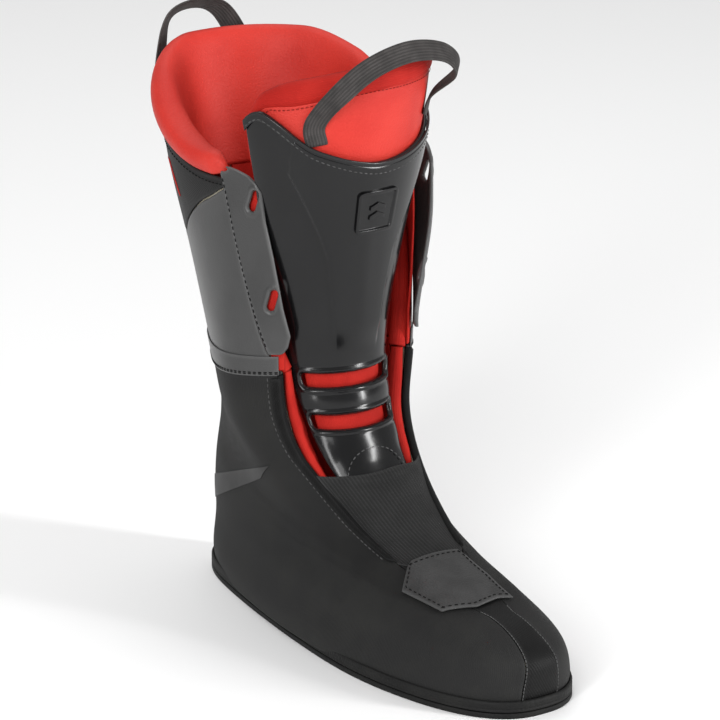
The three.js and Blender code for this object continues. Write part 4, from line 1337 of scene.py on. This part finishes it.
@dataclass
class Tongue:
    """Tongue: moulded shell with two flex windows, lip tape, badge, red face, pad and outline roll."""

    form: TongueForm
    body: str = "tongue"
    shell: float = 2.2
    gap: float = 0.5
    face: float = 0.9
    pad: float = 10.0
    window: float = 7.2
    window_levels: tuple[float, float] = (2.75, 3.7)
    badge_level: float = 6.66
    badge_shift: float = 3.0
    badge_side: float = 25.0

    def up_from(self, level: float, a: Array) -> Array:
        """Millimetres up the ridge from a level, near it."""
        step = self.form.point(np.array(level + 0.25), np.array(0.0)) - self.form.point(
            np.array(level - 0.25), np.array(0.0))
        return (a - level) * np.linalg.norm(step) / 0.5

    def across(self, a: Array, b: Array) -> Array:
        """Millimetres across from the ridge."""
        return b * self.form.WRAP * curve(self.form.SECTIONS, a)[..., 2] / math.sin(self.form.WRAP)

    def windows(self, a: Array, b: Array) -> Array:
        """Distance outside of the flex windows."""
        nearest = np.full(np.shape(a), 1e3)
        half = 0.88 * self.across(a, np.ones_like(b))
        for level in self.window_levels:
            y = self.up_from(level, a)
            corner = 2.8
            dx = np.abs(self.across(a, b) + 3) - half + corner
            dy = np.abs(y) - self.window / 2 + corner
            outside = np.hypot(np.maximum(dx, 0), np.maximum(dy, 0)) + np.minimum(np.maximum(dx, dy), 0) - corner
            nearest = np.minimum(nearest, outside)
        return nearest

    def moulding(self, a: Array, b: Array) -> Array:
        """Height of the shell's moulded relief: window rims, bulged bars, raised shield and lip bead."""
        x = np.abs(self.across(a, b))
        rims = 0.9 * bump(self.windows(a, b), 1.7, 1.8)
        edge = along(((3.9, 12), (5, 16), (5.9, 21), (6.3, 27), (7.4, 48)), a)
        shield = 1.8 * (1 - smooth(x - edge, -0.7, 0.7)) * smooth(a, 4.2, 4.7)
        bars = 1.0 * bump(a, 3.22, 0.45) + 0.8 * bump(a, 2.2, 0.5)
        spine = 0.5 * np.exp(-((x / 5) ** 2)) * bump(a, 5.6, 1.6)
        return rims + shield + bars + spine

    def build_shell(self) -> None:
        """Shell with its windows, and the tape and stitches at its lip and root."""
        def place(u: Array, v: Array) -> tuple[Array, Array]:
            """From the root up to the lip, and across."""
            level = mix(0.0, self.form.lip(mix(-1.12, 1, v)), u)
            return level, self.form.share(level, v)
        shell = Slab(self.form, place, 0, self.shell, 230, 110, edge=1.1, relief=self.moulding, hole=self.windows)
        settle(shell.build("tongue_plastic_shell"), SHELL, "tongue_shell", self.body, "tongue_shell")

        def tape(u: Array, v: Array) -> tuple[Array, Array]:
            """Place on the tape, up to the lip and across."""
            b = mix(-1.12, 1, v)
            return self.form.lip(b) + 0.02 - (1 - u) * 7 / 26, b
        settle(Slab(self.form, tape, -1.6, 1.1, 12, 120, edge=0.55).build("lip_binding"), SHELL, "binding",
               self.body, "tongue_lip_tape")
        rows = [seam_row(self.form, tape, share, (0.02, 0.98), -1.6, count=200) for share in (0.18,)]
        settle(stitches("lip_stitches", rows), THREAD, "binding", self.body)

        def arch(u: Array, v: Array) -> tuple[Array, Array]:
            """Arched line of stitches over the root."""
            return 2.05 - 0.9 * (2 * v - 1) ** 2 + 0 * u, mix(-0.8, 0.8, v)

        settle(stitches("root_stitches", [seam_row(self.form, arch, 0.0, (0.0, 1.0), -0.55)]), THREAD, "tongue_shell",
               self.body)

    def build_badge(self) -> None:
        """Plain raised badge: a rounded frame round two chevrons, modelled flat and laid on the shell."""
        half = self.badge_side / 2 - 0.5
        badge = start("badge_frame", bpy.ops.mesh.primitive_plane_add, size=2 * half * MM, location=(0, 0, 0))
        bpy.ops.object.mode_set(mode="EDIT")
        bpy.ops.mesh.select_all(action="SELECT")
        bpy.ops.mesh.bevel(offset=3.0 * MM, segments=6, affect="VERTICES")
        bpy.ops.mesh.extrude_region_move(TRANSFORM_OT_translate={"value": (0, 0, 1.5 * MM)})
        bpy.ops.mesh.inset(thickness=1.7 * MM, depth=0)
        bpy.ops.mesh.inset(thickness=0.5 * MM, depth=0)
        bpy.ops.transform.translate(value=(0, 0, -1.0 * MM))
        leave()
        parts = [badge]
        for rise in (-2.6, 2.6):
            mark = start("badge_chevron", bpy.ops.mesh.primitive_cube_add, size=2 * MM, location=(0, 0, 0))
            mark.data.transform(Matrix.Diagonal((4.6, 1.1, 0.6, 1)))
            bpy.ops.object.mode_set(mode="EDIT")
            bpy.ops.mesh.select_all(action="SELECT")
            bpy.ops.mesh.subdivide(number_cuts=5)
            leave()
            for vertex in mark.data.vertices:
                vertex.co.y += rise * MM + 1.2 * MM - abs(vertex.co.x) * 0.45
                vertex.co.z += 0.7 * MM
            parts.append(mark)
        bpy.ops.object.select_all(action="DESELECT")
        for part in parts:
            part.select_set(True)
        bpy.context.view_layer.objects.active = badge
        bpy.ops.object.join()
        apply(badge, "BEVEL", width=0.25 * MM, segments=2, angle_limit=0.7)
        bpy.ops.object.mode_set(mode="EDIT")
        bpy.ops.mesh.select_all(action="SELECT")
        bpy.ops.mesh.quads_convert_to_tris()
        bpy.ops.mesh.subdivide(number_cuts=2)
        bpy.ops.mesh.normals_make_consistent(inside=False)
        leave()
        row = float(self.up_from(self.badge_level, np.array(self.badge_level + 1)))
        width = float(self.across(np.array(self.badge_level), np.array(1.0)))
        bend_onto(badge, lambda p: self.form.at(self.badge_level + p[:, 1] / row,
                                                (p[:, 0] + self.badge_shift) / width, -1.75 - p[:, 2]))
        bpy.ops.object.shade_smooth_by_angle(angle=0.6)
        settle(badge, SHELL, "tongue_shell", self.body, "badge")

    def build_soft(self) -> None:
        """Red face, pad behind it, the roll round the top and sides, and the tab that is sewn into the foot."""
        face_depth = self.shell + self.gap

        def crown(a: Array, b: Array) -> Array:
            """Crown of the face, with soft waves."""
            return 0.5 * (1 - b**2) + 0.2 * waves(a * 5, b * 6, 31)

        def on_face(u: Array, v: Array) -> tuple[Array, Array]:
            """Place on the face, from just under the lip to the crest."""
            b = mix(-1.0, 1.0, v)
            return mix(TongueForm.LIP - 0.35, self.form.crest(b) + 0.28, u), b

        def on_pad(u: Array, v: Array) -> tuple[Array, Array]:
            """Place on the pad, from the root to the crest."""
            b = mix(-0.97, 0.97, v)
            return mix(0.12, self.form.crest(b), u), b

        def thick(a: Array, b: Array) -> Array:
            """Extra thickness of the pad, which thins towards its sides and root."""
            return self.pad * (1 - 0.55 * b * b) * mix(0.6, 1, smooth(a, 0, 2.5)) - 2.6

        face = Slab(self.form, on_face, face_depth, self.face, 50, 100, edge=0.45, relief=crown)
        settle(cut(face.build("tongue_red_face")), COLLAR_RED, "lining", self.body, "tongue_face")
        pad_depth = face_depth + self.face + self.gap
        pad = Slab(self.form, on_pad, pad_depth, 2.6, 90, 60, edge=1.3, backing=thick).build("tongue_padding")
        settle(pad, LINING_RED, "lining", self.body, "tongue_pad")

        stops = [(7.2, -1.16, 0), (7.8, -1.15, 0), (8.3, -1.11, 0), (8.65, -1.04, 0.5), (8.8, -0.95, 4),
                 (8.88, -0.82, 6), (9.05, -0.6, 6.6), (9.3, -0.3, 6.6), (9.46, 0, 6.6), (9.5, 0.3, 6.8),
                 (9.5, 0.6, 7), (9.5, 0.84, 6.5),
                 (9.5, 0.95, 4.5), (9.3, 1.01, 1), (8.8, 1.06, 0), (8.0, 1.08, 0), (7.2, 1.08, 0)]
        level, b, rise = (np.array(column) for column in zip(*stops))
        up = unit(self.form.point(level + 0.05, b) - self.form.point(level - 0.05, b))
        points = self.form.at(level, b, 7.5) + up * rise[:, None]
        path = spline(points, 170)
        outward = spline(self.form.normal(level, b), 170)
        tangent = unit(np.gradient(path, axis=0))
        outward = unit(outward - tangent * np.einsum("ij,ij->i", outward, tangent)[:, None])
        side = np.cross(outward, tangent)
        run = np.linspace(0, 1, 170)
        swell = np.clip(np.minimum(run, 1 - run) / 0.03, 0.02, 1) ** 0.5
        leg = smooth(np.abs(run - 0.5), 0.22, 0.32)
        deep, wide = mix(6.6, 5.4, leg) * swell, mix(7.4, 5.0, leg) * swell
        turn = np.linspace(0, 2 * np.pi, 32, endpoint=False)
        creases = 1 + 0.02 * waves(run[:, None] * 120, turn[None, :] * 2, 14)
        ring = (side[:, None] * (np.cos(turn)[None, :] * wide[:, None] * creases)[..., None]
                + outward[:, None] * (np.sin(turn)[None, :] * deep[:, None] * creases)[..., None])
        roll = tube("tongue_edge_roll", path[:, None] + ring)

        def border(u: Array, v: Array) -> tuple[Array, Array]:
            """Line of stitches round the top of the face."""
            b = mix(-1.0, 0.98, v)
            return self.form.crest(b) + 0.12 + 0 * u - 60 * np.maximum(np.abs(v - 0.5) - 0.44, 0) ** 1.5, b

        settle(stitches("tongue_face_stitches", [seam_row(self.form, border, 0.0, (0.0, 1.0), face_depth - 0.75)],
                        2.4, 1.7, 0.22), RED_THREAD, "lining", self.body)
        settle(roll, LINING_RED, "lining", self.body, "tongue_top_roll")

    def build(self) -> None:
        """Make every piece of the tongue."""
        self.build_shell()
        self.build_badge()
        self.build_soft()


@dataclass
class PullLoops:
    """Webbing pull loops on the tongue and at the back of the collar."""

    form: Form
    tongue: TongueForm
    thickness: float = 1.6
    tongue_width: float = 11.5
    rear_width: float = 12.0

    def on_face(self, level: float, across: float, shift: Sequence[float] = (0, 0, 0)) -> Array:
        """Point just in front of the tongue's red face."""
        return self.tongue.at(level, across, 2.2 - self.thickness / 2) + np.array(shift)

    def on_collar(self, turn: float, height: float, shift: Sequence[float] = (0, 0, 0)) -> Array:
        """Point just behind the collar's outer face, at an angle from the heel line."""
        angle = np.array(BACK + turn)
        folded = min(float(angle), 2 * BACK - float(angle))
        level = self.form.collar(np.array(folded))
        out = self.form.normal(level, angle)
        up = unit(self.form.point(level + 0.05, angle) - self.form.point(level - 0.05, angle))
        tall = mix(13, 42, smooth(folded, 1.5, BACK)) * self.form.grade[2]
        return self.form.point(level, angle) + out * (5 + 0.75 + self.thickness / 2) + up * height * tall + shift

    def loop(self, name: str, points: Sequence[Array], wides: Sequence[Sequence[float]], width: float) -> None:
        """Make one loop from the points and width directions along it."""
        path = spline(points, 130)
        LOG.info("%s: %.0f mm of webbing", name, np.linalg.norm(np.diff(path, axis=0), axis=1).sum())
        wide = np.stack([np.interp(np.linspace(0, 1, 130), np.linspace(0, 1, len(wides)), column)
                         for column in zip(*wides)], -1)
        settle(ribbon(f"{name}_webbing", path, wide, width, self.thickness), WEBBING, "webbing", name, name)

    def build(self) -> None:
        """Make both loops."""
        top = self.tongue.point(np.array(TongueForm.TOP), np.array(0.0))
        over = lambda x, y, z: top + np.array([x, y, z])
        self.loop("tongue_loop", [
            self.on_face(8.02, -0.5), self.on_face(8.6, -0.52, (0, -1, 0)), over(-30, -4, 5), over(-12, -7, 17),
            over(12, -7, 22), over(36, -3, 17), over(50, 6, 4), self.on_face(8.75, 0.72, (1, -2, 0)),
            self.on_face(8.2, 0.68),
        ], [[0.9, -0.4, 0], [0.7, -0.5, -0.4], [0, -0.5, -0.86], [-0.6, -0.6, -0.5], [-0.7, -0.7, 0]],
            self.tongue_width)
        crest = lambda x, rise: self.on_collar(0, 0.9, (x, 1.5, rise))
        self.loop("rear_loop", [
            self.on_collar(0.36, 0.45), self.on_collar(0.36, 0.75, (0, 1, 0)), crest(-17, 14), crest(0, 20),
            crest(17, 14), self.on_collar(-0.36, 0.75, (0, 1, 0)), self.on_collar(-0.36, 0.45),
        ], [[1, 0.38, 0], [0.7, 0.6, -0.5], [0, 0.8, -0.6], [-0.7, 0.6, -0.5], [-1, 0.38, 0]], self.rear_width)


# ---------------------------------------------------------------------------------------------- the studio


@dataclass
class Studio:
    """Pale floor, soft lights and the camera."""

    azimuth: float = -34.86
    elevation: float = 18.0
    distance: float = 2.389
    lens: float = 227.25
    target: tuple[float, float, float] = (0.0, 0.020, 0.150)

    def light(self, name: str, place: Sequence[float], size: tuple[float, float], power: float) -> None:
        """Add an area light that faces the liner."""
        data = bpy.data.lights.new(name, "AREA")
        data.shape, data.size, data.size_y, data.energy = "RECTANGLE", *size, power
        lamp = bpy.data.objects.new(name, data)
        lamp.location = place
        lamp.rotation_euler = (Vector(self.target) - Vector(place)).to_track_quat("-Z", "Y").to_euler()
        bpy.context.scene.collection.objects.link(lamp)

    def camera(self) -> None:
        """Add the camera."""
        a, e = math.radians(self.azimuth), math.radians(self.elevation)
        back = Vector((math.sin(a) * math.cos(e), -math.cos(a) * math.cos(e), math.sin(e)))
        data = bpy.data.cameras.new("camera")
        data.lens, data.sensor_width = self.lens, 36.0
        camera = bpy.data.objects.new("camera", data)
        facing = (-back).to_track_quat("-Z", "Y")
        right, up = facing @ Vector((1, 0, 0)), facing @ Vector((0, 1, 0))
        aim = Vector(self.target) - up * 0.0048 + right * 0.0014
        camera.location, camera.rotation_euler = aim + back * self.distance, facing.to_euler()
        bpy.context.scene.collection.objects.link(camera)
        bpy.context.scene.camera = camera

    def build(self) -> None:
        """Make the floor, the lights, the pale surroundings and the camera."""
        self.camera()
        bpy.context.scene.view_settings.view_transform = "Standard"
        floor = start("studio_floor", bpy.ops.mesh.primitive_plane_add, size=12, location=(0, 0, 0))
        shader = Shader("studio_floor_paint")
        where = shader.node("ShaderNodeTexCoord").outputs["Object"]
        tone = shader.blend(shader.noise(where, 1.5), linear((247, 247, 247)), linear((250, 250, 250)))
        shader.tree.links.new(tone, shader.surface.inputs["Base Color"])
        shader.surface.inputs["Roughness"].default_value = 0.9
        floor.data.materials.append(shader.material)
        world = bpy.context.scene.world or bpy.data.worlds.new("studio")
        bpy.context.scene.world = world
        world.use_nodes = True
        world.node_tree.nodes["Background"].inputs[0].default_value = (1, 1, 1, 1)
        world.node_tree.nodes["Background"].inputs[1].default_value = 0.45
        self.light("key", (-1.5, -1.2, 1.5), (1.0, 1.2), 20)
        self.light("side_strip", (-1.9, -1.1, 0.5), (0.35, 1.8), 24)
        self.light("front_strip", (1.25, -1.75, 0.55), (0.22, 1.8), 46)
        self.light("top", (0.2, 0.9, 2.2), (1.6, 1.2), 17)


def main() -> None:
    """Build the liner round the frame."""
    logging.basicConfig(level=logging.INFO, format="%(message)s")
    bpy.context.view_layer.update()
    Studio().build()
    form = Form()
    tongue = TongueForm(form.grade)
    Sole(form).build()
    Foot(form).build()
    Cuff(form).build()
    Tongue(tongue).build()
    PullLoops(form, tongue).build()
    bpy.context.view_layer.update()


if __name__ == "__main__":
    main()
